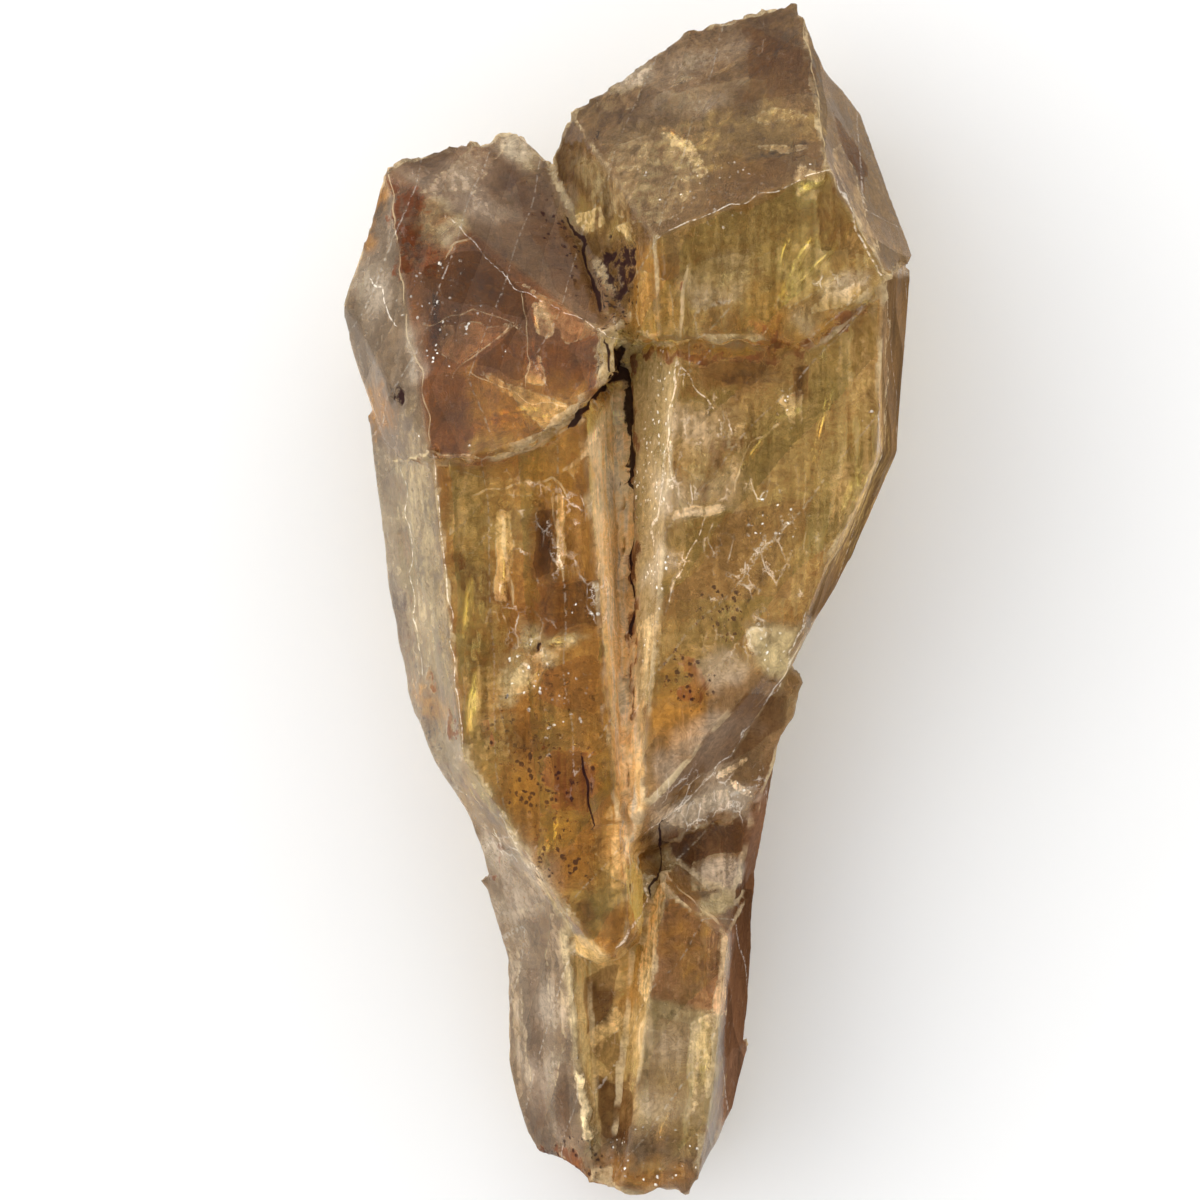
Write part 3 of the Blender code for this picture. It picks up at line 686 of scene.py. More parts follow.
        (1.2, 0.42, (-0.8, -6), (1.3, 10), 2), (1.3, 0.75, (4.4, -9), (2.2, 3.8), -8),
        (1.6, 0.55, (4.6, -27.6), (2, 4.4), 12), (1.2, 0.7, (0, -48.2), (4.6, 1.2), 0)),
    *several(Trace, Kind.RUST,
        (0.3, 0.75, ((-17.6, 11.5), (-12.2, 11.2), (-8.2, 11.9), (-5.6, 13.2)), 0.22),
        (0.2, 0.7, ((4.9, 27), (4.5, 24.6), (4.3, 22.4)), 0.24),
        (0.5, 0.8, ((1, 20.6), (9.9, 19.9), (14.2, 20.4), (16.9, 21.9), (19.6, 24.3)), 0.75),
        (0.25, 0.95, ((-11.7, -10.5), (-11.4, -11.8), (-10.9, -13.2)), 0.5),
        (0.5, 0.7, ((0.4, 20), (0.6, 12), (0.5, 4), (0.3, -10)), 0.5),
        (0.3, 0.7, ((-10.8, -20.5), (-10.6, -22.2), (-10.9, -23.8)), 0.25)),
    *several(Shard, Kind.GOLD,
        (0.3, 0.85, ((-2.4, 21.9), (-0.8, 22.5), (-0.7, 18.4), (-2.1, 18))),
        (0.4, 0.6, ((-0.4, -36), (-0.3, -40.5), (-3.4, -38.6)))),
    *several(Patch, Kind.VEINS,
        (1, 0.9, (16.8, 25.6), (2.8, 1.5), 40), (0.8, 0.9, (-9.6, -20.6), (3.6, 1.4), -52),
        (2.5, 0.6, (-6.6, 2), (5.5, 8.5), 0), (2, 1, (6.2, 11.2), (3.4, 5), -8),
        (2.5, 0.6, (9.8, 2.2), (5.6, 7), 0), (1.5, 0.8, (6.6, -16.8), (4.6, 2.4), 14)),
    *several(Trace, Kind.CREAM,
        (0.6, 0.7, ((-13.6, -12.4), (-12.2, -15.6), (-8.6, -21.4), (-5, -26.6)), 0.7),
        (0.6, 0.65, ((-5.2, -27.4), (-4.5, -33.4), (-4, -39.5), (-2.9, -46)), 0.8)),
    *several(Patch, Kind.FIBRE,
        (1, 0.95, (-0.9, 2), (1.5, 16), 2), (0.8, 0.85, (0, -18), (1.2, 7), -4)),
    Shard(Kind.CREAM, 0.5, 0.75, ((10, -2.8), (14.5, -2.6), (12.7, -7), (10.8, -5.2))),
)
# light and dark facets seen inside, painted reflections and painted shade: how much of the tone each adds or
# takes, and its corners
FACETS = (
    *several_facets(Kind.DEEP,
        (0.8, ((-14.6, 28.9), (-12.1, 29.2), (-8.9, 25.7), (-8.2, 22.8), (-11.4, 24.4), (-14.3, 24.7),
            (-17.2, 25.7), (-16.9, 27.6))),
        (0.5, ((-19.8, 35.2), (-17.4, 33.4), (-17.2, 30.2), (-18.8, 26.8))),
        (0.65, ((-12.7, 19.3), (-9.2, 22.8), (-8.2, 18))),
        (0.5, ((-5.7, 21.2), (-2.5, 19.3), (-5, 16.7), (-7, 17), (-7, 21.2))),
        (0.45, ((-16.9, 18.6), (-13.4, 18.6), (-14.3, 16.1), (-16.3, 13.2))),
        (0.35, ((-10.2, 35.9), (-7, 35.9), (-1.2, 22.5), (-5.7, 25.7), (-8.2, 30.8))),
        (0.4, ((9.7, 48.1), (15.1, 45.5), (15.8, 42.3), (9.7, 41.4), (10.3, 45.2))),
        (0.3, ((7.1, 37.2), (13.5, 36.5), (13.2, 33.7), (9, 32), (6.5, 32.1))),
        (0.5, ((2.4, 28.6), (4.5, 28.9), (4.5, 26.6), (2.9, 26.5))),
        (0.3, ((-4.4, 37.8), (-2.5, 38.5), (1.8, 30), (0.7, 29.7), (-2.5, 35.9))),
        (0.5, ((17.2, 40.6), (20.2, 36), (19.9, 33.9), (17.8, 38.2))),
        (0.5, ((5.8, 19.9), (12.2, 19.6), (10.3, 17.7), (6.5, 18.3))),
        (0.55, ((13.8, 19.3), (15.4, 19.6), (15.1, 17), (13.8, 16.7))),
        (0.3, ((8.4, 7.1), (15.4, 8.4), (13.5, -0.2), (3.3, -0.2))),
        (0.5, ((3.3, -16.2), (5.8, -12.4), (10, -7.9), (13.5, -8.2), (13.2, -10.8), (7.1, -14.3))),
        (0.75, ((-7.6, 7.1), (-6, 7.4), (-6.3, 2), (-7.9, 1.3))),
        (0.45, ((-7, -6), (-2.5, -4.7), (-2.5, -9.8), (-5.7, -9.5), (-7.6, -8.2))),
        (0.5, ((-7.9, 0.8), (-2.4, 1.6), (-2.2, -2.2), (-5.6, -2.6))),
        (0.4, ((-6.4, -12.8), (-3.9, -12.6), (-3.3, -17.4), (-5.5, -17.9))),
        (0.3, ((-7, -21.3), (-3.8, -20.7), (-2.5, -24.5), (-5.4, -24.5))),
        (0.6, ((3.3, -20.1), (5.8, -19.4), (5.5, -23.3), (3.9, -22))),
        (0.35, ((9, -24.5), (11, -22.6), (10.3, -37), (7.8, -38.6), (8.9, -29))),
        (0.3, ((2.6, -34.8), (5.2, -35.8), (4.6, -45), (2, -46.3), (2, -38.6))),
        (0.6, ((-3.8, -31.6), (-0.6, -30.6), (-1.2, -34.2), (-3.4, -36.7))),
        (0.5, ((-3.1, -38), (-0.6, -36.1), (0.1, -41.2))),
        (0.7, ((-2.8, -39.9), (0.4, -41.5), (0.1, -45.7), (-2.2, -45))),
        (0.25, ((-8.4, -31), (-7.4, -31), (-6.6, -44), (-7.8, -45))),
        (0.35, ((-6, -39.3), (-5, -39), (-4.6, -45), (-6, -45)))),
    *several_facets(Kind.PALE,
        (0.45, ((-15.3, 22.8), (-9.2, 22.8), (-14.3, 19.3), (-16.2, 21.2))),
        (1.5, ((-8.3, 24.5), (-7, 24.4), (-5.9, 22.8), (-6.4, 21.6), (-7.4, 22.1))),
        (0.9, ((-8.1, 20.2), (-7.4, 20.2), (-7, 17.7), (-8.2, 18))),
        (0.8, ((-13, 18.9), (-4.4, 16.1), (-7, 13.8), (-8.2, 15.4))),
        (0.35, ((-17.5, 33.7), (-11.1, 39.1), (-9.5, 39.3), (-12.7, 34))),
        (0.7, ((-9.5, 26.6), (-1.8, 22.5), (-5, 21.2), (-7, 24.4))),
        (0.5, ((-2.5, 42.6), (2, 44.6), (0.7, 41.4), (-2.5, 40.7))),
        (0.35, ((5.5, 35), (4.5, 37.7), (1.7, 38.8), (-1.1, 37.8), (-2.1, 35), (-1, 32.3),
            (1.7, 31.2), (4.4, 32.3))),
        (0.8, ((3, 39.2), (5.2, 38.3), (6.8, 35.9), (6.4, 34.6), (5.2, 36.6), (2.9, 38.6))),
        (0.7, ((10.4, 37.5), (12.6, 37.9), (15, 38), (14.6, 37.5), (12.4, 37.3))),
        (0.45, ((10.2, 40.3), (12.4, 40.9), (15.2, 40.5), (13.6, 40), (11.4, 39.8))),
        (0.9, ((14.2, 36.2), (16.6, 35.7), (16.2, 34.9), (14, 35.3))),
        (0.8, ((14.1, 34.6), (16.4, 34), (16, 33.2), (14.2, 33.5))),
        (0.3, ((5.2, 27.9), (10.3, 29.2), (12.9, 25.7), (11, 21.2), (4.6, 21.8))),
        (0.35, ((10.6, 27.9), (13.5, 30.1), (16.4, 28.9), (18, 26.3), (13.5, 24.4))),
        (0.9, ((12, 26.2), (13.9, 29.9), (13.3, 30))),
        (1, ((12.2, 26.1), (15.6, 29.4), (14.9, 29.7))),
        (0.9, ((12.4, 25.8), (16.8, 28.6), (16.2, 29.1))),
        (1.1, ((12.8, 25.6), (17.4, 27.5), (17.2, 28))),
        (0.7, ((16.7, 25.7), (19.9, 26.3), (19.3, 24.9), (15.1, 23.9))),
        (0.45, ((0.9, 27.6), (3.6, 26.4), (4.1, 21.8), (0.9, 21.4))),
        (1.2, ((-4.4, 32.1), (-2.5, 32.7), (-1.9, 31.4), (-3.6, 30.4))),
        (1.1, ((-1.4, 31.2), (0.5, 31.6), (0.4, 29.8))),
        (0.45, ((17.7, 38.2), (19.9, 33.3), (21.2, 27.6), (20.2, 27.2), (19.3, 32.1), (17.2, 36.5))),
        (0.9, ((12.6, 16.7), (14.8, 17.4), (14.5, 14.8), (13.5, 14.5))),
        (0.3, ((4.9, 16.7), (7.8, 16.1), (8.4, 12.9), (5.8, 9.7), (3.9, 11.6), (3.6, 14.8))),
        (0.9, ((3.9, 7.4), (8.2, 7.9), (7.8, 6.9), (3.6, 6.5))),
        (0.3, ((17.7, 22.1), (21.8, 25.7), (21.5, 12.6), (18.4, 5), (16.4, 2), (17.2, 11.6))),
        (0.6, ((0.9, -2.1), (2.9, -0.8), (2.6, -6), (1.4, -9.8))),
        (0.6, ((8.6, 14), (10, 14.8), (9.6, 10.2), (8.8, 9.6))),
        (1.2, ((7.4, -14.6), (10.3, -12.9), (10, -13.7), (7.1, -15.6))),
        (1.2, ((8.4, -15.3), (10, -15.9), (10.3, -16.9), (9, -16.2))),
        (0.5, ((2.3, -17.5), (8.4, -16.2), (9, -19), (3.9, -19), (2, -18.7))),
        (0.35, ((-14.8, 10.4), (-6.7, 9.6), (-6.7, 8.7), (-12.1, 8.4), (-14.8, 5.2))),
        (1.3, ((-6, 8.4), (-5.3, 8.7), (-5.1, 2.6), (-5.8, 2))),
        (0.7, ((-5, 10.6), (-2.6, 14.2), (-1.8, 14.9), (-4.4, 9.9))),
        (0.9, ((-11.1, 7.1), (-9.6, 7.4), (-9.8, -0.2), (-10.9, -0.2))),
        (0.55, ((-9.2, -6), (-8.2, -4.4), (-6.3, -4.4), (-4.4, -3.1), (-4.4, -4), (-7, -5.6),
            (-7.9, -7.9), (-10.5, -8.5))),
        (0.35, ((-14, -5.3), (-9.5, -6), (-10.8, -9.2), (-9.8, -13.7), (-13, -13.4))),
        (0.4, ((-2.8, -19.4), (-0.2, -18.8), (0.3, -24.5), (-2.5, -22.6))),
        (0.5, ((-6.4, -25.8), (-4.8, -29), (-4.6, -37.6), (-5.7, -35.4))),
        (0.8, ((5.5, -22), (9.7, -21.3), (9.4, -23.9), (5.5, -24.3))),
        (0.9, ((7.8, -27.4), (8.6, -28.1), (8.1, -34.8), (7.3, -34.8))),
        (0.6, ((5.2, -35.8), (7.1, -34.8), (7.3, -40.2), (4.9, -44.4))),
        (0.5, ((-3.4, -36.7), (-0.9, -34.2), (-0.2, -35.4), (-2.5, -38.6))),
        (0.8, ((0.7, -32.9), (2.3, -23.9), (3.2, -23.5), (1.7, -33.8))),
        (0.45, ((-10, -29.5), (-9.2, -29.5), (-8.2, -40.6), (-9.2, -42))),
        (0.35, ((-6.8, -28), (-6, -27.5), (-5.4, -38), (-6, -41))),
        (1.1, ((-4.4, -39.6), (-3.5, -40.2), (-2.9, -45.7), (-3.5, -45.4)))),
)
BACK_MARKS = (
    *several(Patch, Kind.FROST,
        (2.5, 0.6, (-11, 20), (5, 9), 8), (2, 0.5, (12, 12), (4, 6), -20)),
    Patch(Kind.ORANGE, 2, 0.7, (-8, -4), (4, 7), -10),
    Patch(Kind.RUST, 1, 0.8, (-12, 2), (1.6, 3), 30),
    Patch(Kind.SPECKS, 2.5, 0.8, (-7, -8), (5, 6), 0),
    *several_lines(Kind.CRACK, (0.49, ((-1, 34), (0.4, 22), (0, 8), (1, -6)))),
    Patch(Kind.FIBRE, 1.5, 0.8, (0.4, 10), (2, 18), 2),
    Patch(Kind.VEINS, 3, 0.8, (9, 26), (6, 8), 20),
    Patch(Kind.SMOKE, 3, 0.6, (8, -24), (4, 10), 6),
    Patch(Kind.GOLD, 3, 0.6, (10, 38), (5, 5), 0),
    Patch(Kind.SPARKLE, 2, 0.7, (6, 4), (5, 6), 0),
)


# ---------------------------------------------------------------------------- number work
def waves(place: Array, size: float, seed: int, stretch: Place = (1.0, 1.0, 1.0)) -> Array:
    """Smooth noise: the sum of sixteen plane waves of random direction, length and phase.

    Args:
        place: points in millimetres, one a row.
        size: about how many millimetres a wave takes.
        seed: picks the waves.
        stretch: factors along the axes; a small one draws the noise out along that axis.

    Returns:
        One value a point, mostly between -2 and 2, with a mean square of 1.
    """
    chance = np.random.default_rng(seed)
    count = 16
    ways = chance.normal(size=(count, 3))
    ways *= (2 * np.pi / size * chance.uniform(0.6, 1.5, count) / np.linalg.norm(ways, axis=1))[:, None]
    return np.sin((place * np.array(stretch)) @ ways.T + chance.uniform(0, 2 * np.pi, count)).sum(axis=1) \
        * math.sqrt(2 / count)


def smooth_step(value: Array, low: float, high: float) -> Array:
    """The cubic 3t^2 - 2t^3 of how far value is from low to high, held between 0 and 1."""
    share = np.clip((value - low) / (high - low), 0.0, 1.0)
    return share * share * (3 - 2 * share)


def spread(value: Array, pairs: Array, times: int) -> Array:
    """Averages each corner's values with its neighbours', a number of times.

    Args:
        value: one row a corner.
        pairs: the two corners of each edge.
        times: how often.

    Returns:
        The averaged rows.
    """
    start, end = pairs.T
    count = np.bincount(pairs.ravel(), minlength=len(value))[:, None] + 1.0
    for _ in range(times):
        total = value.copy()
        for column in range(value.shape[1]):
            total[:, column] += np.bincount(start, value[end, column], len(value))
            total[:, column] += np.bincount(end, value[start, column], len(value))
        value = total / count
    return value


def in_plan(place: Array) -> tuple[Array, Array]:
    """Where lines from the eye through the points meet the level plane that marks are given on."""
    share = (EYE[2] - EYE_LEVEL) / (EYE[2] - place[:, 2])
    return EYE[0] + (place[:, 0] - EYE[0]) * share, EYE[1] + (place[:, 1] - EYE[1]) * share


def make_mesh(name: str, corners: Array, faces: Sequence[Sequence[int]]) -> bpy.types.Object:
    """Makes an object from corners in millimetres.

    Args:
        name: the piece's name.
        corners: one point a row.
        faces: indices of each face's corners, anticlockwise seen from outside.

    Returns:
        The smooth-shaded object, linked to the scene.
    """
    mesh = bpy.data.meshes.new(name)
    mesh.from_pydata((corners * MM).tolist(), [], faces)
    mesh.update()
    mesh.shade_smooth()
    made = bpy.data.objects.new(name, mesh)
    bpy.context.scene.collection.objects.link(made)
    return made


def dress(piece: bpy.types.Object, material: bpy.types.Material) -> bpy.types.Object:
    """Gives a piece its material and joins it to the stone's body.

    Args:
        piece: the piece.
        material: its finish.

    Returns:
        The same piece.
    """
    piece.data.materials.clear()
    piece.data.materials.append(material)
    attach(piece, BODY)
    log.info("%s: %d faces", piece.name, len(piece.data.polygons))
    return piece


# ---------------------------------------------------------------------------- the stone's finish
@dataclass(frozen=True)
class Stain:
    """A cloudy colour inside the stone: how much of it shows, and the haze that it adds."""

    kind: Kind
    colour: Colour
    cover: float
    haze: float


STAINS = (
    Stain(Kind.GOLD, (0.56, 0.37, 0.12), 0.74, 0.06),
    Stain(Kind.ORANGE, (0.50, 0.21, 0.03), 0.76, 0.12),
    Stain(Kind.SMOKE, (0.075, 0.032, 0.013), 0.78, 0.02),
    Stain(Kind.CREAM, (0.64, 0.49, 0.25), 0.78, 0.40),
    Stain(Kind.FROST, (0.64, 0.54, 0.42), 0.55, 0.35),
)


@dataclass(frozen=True)
class Masks:
    """The stone's noises, the skin's own numbers, and what lies where, from 0 to 1."""

    place: Wire  # coordinates in millimetres
    ragged: Wire  # fine noise about zero, which frays the masks' edges
    streak: Wire  # noise drawn out along the crystals
    wear: Wire
    planes: Wire
    # line and rim: thin light lines, many of them painted highlights along edges
    line: Wire  # white lines
    rim: Wire  # cream lines
    rust: Wire
    dark: Wire  # dark spots and cracks
    fibre: Wire
    # ripple and step also band the colour: painted reflections of fracture steps
    ripple: Wire  # rises from one curved line of a healed crack to the next
    step: Wire  # rises from one straight cleavage crack to the next
    lines: Wire  # the web of fine veils
    cracks: Wire  # cleavage cracks
    # painted highlights: white glints painted into the colour
    painted_glints: Wire
    specks: Wire
    pits: Wire
    # edge: pale worn edges, also painted highlights along the edges
    edge: Wire  # worn edges of the crystals
    # inner facets: painted reflections, their painted bright outlines, and painted shade with some brown
    pale: Wire  # light inner facets
    painted_facet_edges: Wire  # the thin bright outlines of those facets
    deep: Wire  # dark inner facets


@dataclass(frozen=True)
class CrystalFinish:
    """Smoky golden stone: clear and absorbing, with a share of haze that carries its stains."""

    ior: float = 1.64
    absorption: Colour = (0.80, 0.62, 0.30)
    density: float = 14.0
    clear_roughness: float = 0.03
    haze_roughness: float = 0.30
    haze_shine: float = 0.0
    clear_shine: Colour = (0.45, 0.42, 0.38)
    clear_gain: float = 2.7
    haze_gain: float = 1.2
    least_haze: float = 0.08
    most_haze: float = 0.97
    grain_scale: float = 2.3  # of the noises, in cells to a millimetre
    streak_scale: float = 1.7
    cell_scale: float = 1.75
    web_scale: float = 0.72
    grit_scale: float = 1.9
    bump_strength: float = 0.6
    bump_depth: float = 0.16  # mm
    rust: Colour = (0.115, 0.032, 0.012)
    cream: Colour = (0.62, 0.48, 0.28)
    # cream: of pale facets, worn edges and rims; much of it painted highlight
    frost: Colour = (0.56, 0.47, 0.36)
    # brown: the colour of dark inner facets, under their painted shade
    brown: Colour = (0.15, 0.050, 0.010)
    dark: Colour = (0.022, 0.009, 0.009)
    # white: of veins, and of painted glints and painted highlight lines
    white: Colour = (0.95, 0.90, 0.80)
    fibre: Colour = (0.60, 0.34, 0.12)

    def material(self) -> bpy.types.Material:
        """Builds the finish.

        Returns:
            The material, which reads the skin's tone, haze, wear, flow, planes, facets and marks.
        """
        graph = Graph(bpy.data.materials.new("golden_stone"))
        mask = self.masks(graph)
        colour = self.coloured(graph, mask)
        normal = self.bumped(graph, mask)
        haze = self.hazed(graph, mask)
        clear = graph.wire("ShaderNodeBsdfPrincipled", None, {
            "Base Color": self.scaled(graph, colour, self.clear_gain), "Normal": normal,
            "Roughness": mask.wear * 0.2 + self.clear_roughness,
            "IOR": self.ior, "Transmission Weight": 1.0, "Specular Tint": (*self.clear_shine, 1.0)})
        hazy = graph.wire("ShaderNodeBsdfPrincipled", None, {
            "Base Color": self.scaled(graph, colour, self.haze_gain), "Normal": normal,
            "Roughness": mask.rust * 0.3 + mask.wear * 0.15 + self.haze_roughness,
            "IOR": self.ior, "Specular IOR Level": self.haze_shine})
        surface = graph.wire("ShaderNodeMixShader", None, {0: haze, 1: clear, 2: hazy})
        volume = graph.wire("ShaderNodeVolumeAbsorption", None, {
            "Color": (*self.absorption, 1.0), "Density": self.density})
        return graph.finish(surface, volume)

    def masks(self, graph: Graph) -> Masks:
        """Adds the noises, and turns the skin's numbers into masks with frayed edges.

        Args:
            graph: the material's nodes.

        Returns:
            The noises and the masks.
        """
        place = graph.place()
        grain = graph.noise(place, self.grain_scale, 4.0, 0.68)
        ragged = grain - 0.5
        streak = graph.noise(graph.place((1.0, 0.10, 0.6), 3.0), self.streak_scale, 2.0, 0.6)
        cell = graph.cells(self.warped(graph, place, grain, 0.5), self.cell_scale)
        wear, flow, planes = (graph.number(name) for name in ("wear", "flow", "planes"))
        # white and cream lines, many of them painted highlights along edges
        line = self.thin_line(graph, Kind.LINE, ragged * 1.2) * grain.rise(0.44, 0.54, 1.0, 0.15)
        rim = self.thin_line(graph, Kind.RIM, ragged * 1.4) * streak.rise(0.40, 0.52, 1.0, 0.35)
        crack = self.thin_line(graph, Kind.CRACK, ragged * 1.2)
        rust = (graph.number(Kind.RUST.value) + ragged * 2.2).rise(-0.2, 0.3) \
            * streak.rise(0.38, 0.55, 1.0, 0.55)
        dark = (graph.number(Kind.DARK.value) + ragged * 1.6).rise(-0.1, 0.3).at_least(crack)
        fibre = graph.number(Kind.FIBRE.value).rise(-0.5, 0.5)
        veil = graph.number(Kind.VEINS.value).rise(-0.4, 0.5)
        ripple = (flow * 2.6).math("FRACT")
        step = (planes + ragged * 0.06).math("FRACT")
        web = graph.cells(self.warped(graph, graph.place((1.0, 0.6, 1.0), 24.0), grain, 1.1),
                          self.web_scale, "DISTANCE_TO_EDGE")
        lines = web.rise(0.055, 0.004) * (veil * 0.9 + (streak - 0.5).rise(0.0, 0.10) * 0.16) \
            * (flow * 1.7).math("SINE").rise(-0.3, 0.9)
        cracks = step.distance_from(0.5).rise(0.02, 0.002) * grain.rise(0.46, 0.56)
        # painted glints: white dots where the marks sparkle
        painted_glints = (graph.number(Kind.SPARKLE.value) + ragged * 0.8).rise(-0.5, 0.5) \
            * (cell + ragged * 1.1 + (streak - 0.5) * 0.7).rise(0.17, 0.09)
        specks = (graph.number(Kind.SPECKS.value) + ragged * 0.8).rise(-0.2, 0.4) \
            * (cell + ragged * 1.0 + (0.5 - streak) * 0.8).rise(0.30, 0.22)
        pits = (cell + ragged * 0.5).rise(0.11, 0.06) * streak.rise(0.55, 0.62)
        # worn edges, pale from wear and also painted highlights
        edge = wear.rise(0.60, 1.0) * (flow * 0.7).math("SINE").rise(-0.5, 0.8) * (ragged * 2.0 + 1.0)
        inside = graph.number("pale_depth")
        # painted reflections of the light inner facets
        pale = (inside + ragged * 0.5).rise(-0.05, 0.07) * graph.number("pale_gain") \
            * (streak + ragged * 0.6).rise(0.30, 0.62, 1.0, 0.35)
        # painted highlights along the outlines of the light facets
        painted_facet_edges = (inside + ragged * 0.22).distance_from(0.0).rise(0.075, 0.03) \
            * (grain + (streak - 0.5) * 0.8).rise(0.46, 0.58)
        # painted shade of the dark inner facets
        deep = (graph.number("deep_depth") + ragged * 0.5).rise(-0.05, 0.07) * graph.number("deep_gain")
        return Masks(place, ragged, streak, wear, planes, line, rim, rust, dark, fibre, ripple, step,
                     lines, cracks, painted_glints, specks, pits, edge, pale, painted_facet_edges, deep)

    def coloured(self, graph: Graph, mask: Masks) -> Wire:
        """The stone's colour: its tone, shaded by noises and painted light, with each mark laid over it in
        turn.

        Args:
            graph: the material's nodes.
            mask: its masks.

        Returns:
            The colour.
        """
        # painted reflections: brightness rises across each healed crack and cleavage band and drops at the
        # next; the noises add random tone
        shade = (mask.streak - 0.5) * 0.55 + mask.ragged * 0.8 + (mask.ripple - 0.5) * 0.28 \
            + (mask.step - 0.5) * 0.45 + 1.0
        # painted light and shade: pale facets brighter, deep ones darker
        shade = shade * (mask.pale * 0.9 + 1.0) * (1.0 - mask.deep * 0.55)
        colour = self.tone(graph)
        thread, gap = mask.streak.rise(0.45, 0.60), mask.streak.rise(0.48, 0.36)
        for share, laid in ((mask.fibre * thread * 0.8, self.fibre), (mask.fibre * gap * 0.6, self.frost),
                            (mask.pale * 0.20, self.cream), (mask.deep * 0.85, self.brown),
                            (mask.rust * 0.85, self.rust)):
            colour = graph.mix(share, colour, laid)
        colour = self.scaled(graph, colour, shade.at_least(0.15))
        # cream over worn edges, rims and facet outlines: painted highlights, partly pale wear
        outline = (mask.edge * 0.6).at_least(mask.rim * 0.5).at_least(mask.painted_facet_edges * 0.5)
        # white over veins and cracks, and over painted highlight lines
        veins_and_highlights = (mask.lines * 0.42).at_least(mask.cracks * 0.28).at_least(mask.line * 0.42)
        speck = mask.specks.at_least(mask.pits * 0.4) * 0.88
        for share, laid in ((outline, self.cream), (veins_and_highlights, self.white), (mask.painted_glints, self.white),
                            (speck, self.dark), (mask.dark * 0.97, self.dark)):
            colour = graph.mix(share, colour, laid)
        return colour

    def hazed(self, graph: Graph, mask: Masks) -> Wire:
        """The share of haze: the skin's own, more where marks lie, and never all or nothing.

        Args:
            graph: the material's nodes.
            mask: its masks.

        Returns:
            The share.
        """
        haze = graph.number("haze") + mask.ragged * 0.5 + (mask.streak - 0.5) * 0.35 \
            + (0.5 - mask.step) * 0.25
        for cover, amount in ((mask.pale, 0.12), (mask.deep, 0.35), (mask.line, 0.5), (mask.rim, 0.3),
                              (mask.fibre, 0.3), (mask.rust, 0.5), (mask.lines, 0.5), (mask.painted_glints, 0.6),
                              (mask.specks, 0.6), (mask.dark, 0.9), (mask.edge, 0.25)):
            haze = haze + cover * amount
        return haze.at_least(self.least_haze).at_most(self.most_haze)

    def bumped(self, graph: Graph, mask: Masks) -> Wire:
        """Bends the normal by fine grain, by the steps of cleavage and by healed cracks.

        Args:
            graph: the material's nodes.
            mask: its masks.

        Returns:
            The normal.
        """
        grit = graph.noise(mask.place, self.grit_scale, 1.0) \
            * (mask.wear * 0.5 + graph.number("rough_relief") + 0.10)
        steps = mask.planes.math("FRACT") * 0.12
        return graph.bump(grit + steps + mask.ripple * 0.05, self.bump_strength, self.bump_depth)

    def thin_line(self, graph: Graph, kind: Kind, ragged: Wire) -> Wire:
        """The mask of one kind of thin line: 1 where its side is under 1, close to the line."""
        side = (graph.number(f"{kind.value}_side") + ragged).distance_from(0.0)
        return side.rise(1.25, 0.75) * graph.number(f"{kind.value}_near").rise(0.45, 0.65)

    def tone(self, graph: Graph) -> Wire:
        """The skin's tone, from its three parts."""
        parts = {name: graph.number(f"tone_{name.lower()}") for name in ("Red", "Green", "Blue")}
        return graph.wire("ShaderNodeCombineColor", {"mode": "RGB"}, parts)

    def scaled(self, graph: Graph, colour: Wire, factor: Wire | float) -> Wire:
        """A colour times a number."""
        return graph.wire("ShaderNodeVectorMath", {"operation": "SCALE"},
                          {"Vector": colour, "Scale": factor})

    def warped(self, graph: Graph, place: Wire, noise: Wire, amount: float) -> Wire:
        """Coordinates pushed along (1, -1, 1) by noise, up to amount millimetres."""
        push = graph.wire("ShaderNodeVectorMath", {"operation": "SCALE"},
                          {"Vector": (amount, -amount, amount), "Scale": noise})
        return graph.wire("ShaderNodeVectorMath", {"operation": "ADD"}, {0: place, 1: push})


# ---------------------------------------------------------------------------- the stone's skin
@dataclass
class Surface:
    """The skin's corners as arrays: where they are, which way they face and how they are used."""

    place: Array  # millimetres
    normal: Array
    wear: Array  # 0 on a flat face to 1 on an edge or a broken surface
    broken: Array  # 1 only on a broken surface
    curl: Array  # noise of about a millimetre, mean square 1
    cloud: Array  # noise of about five millimetres


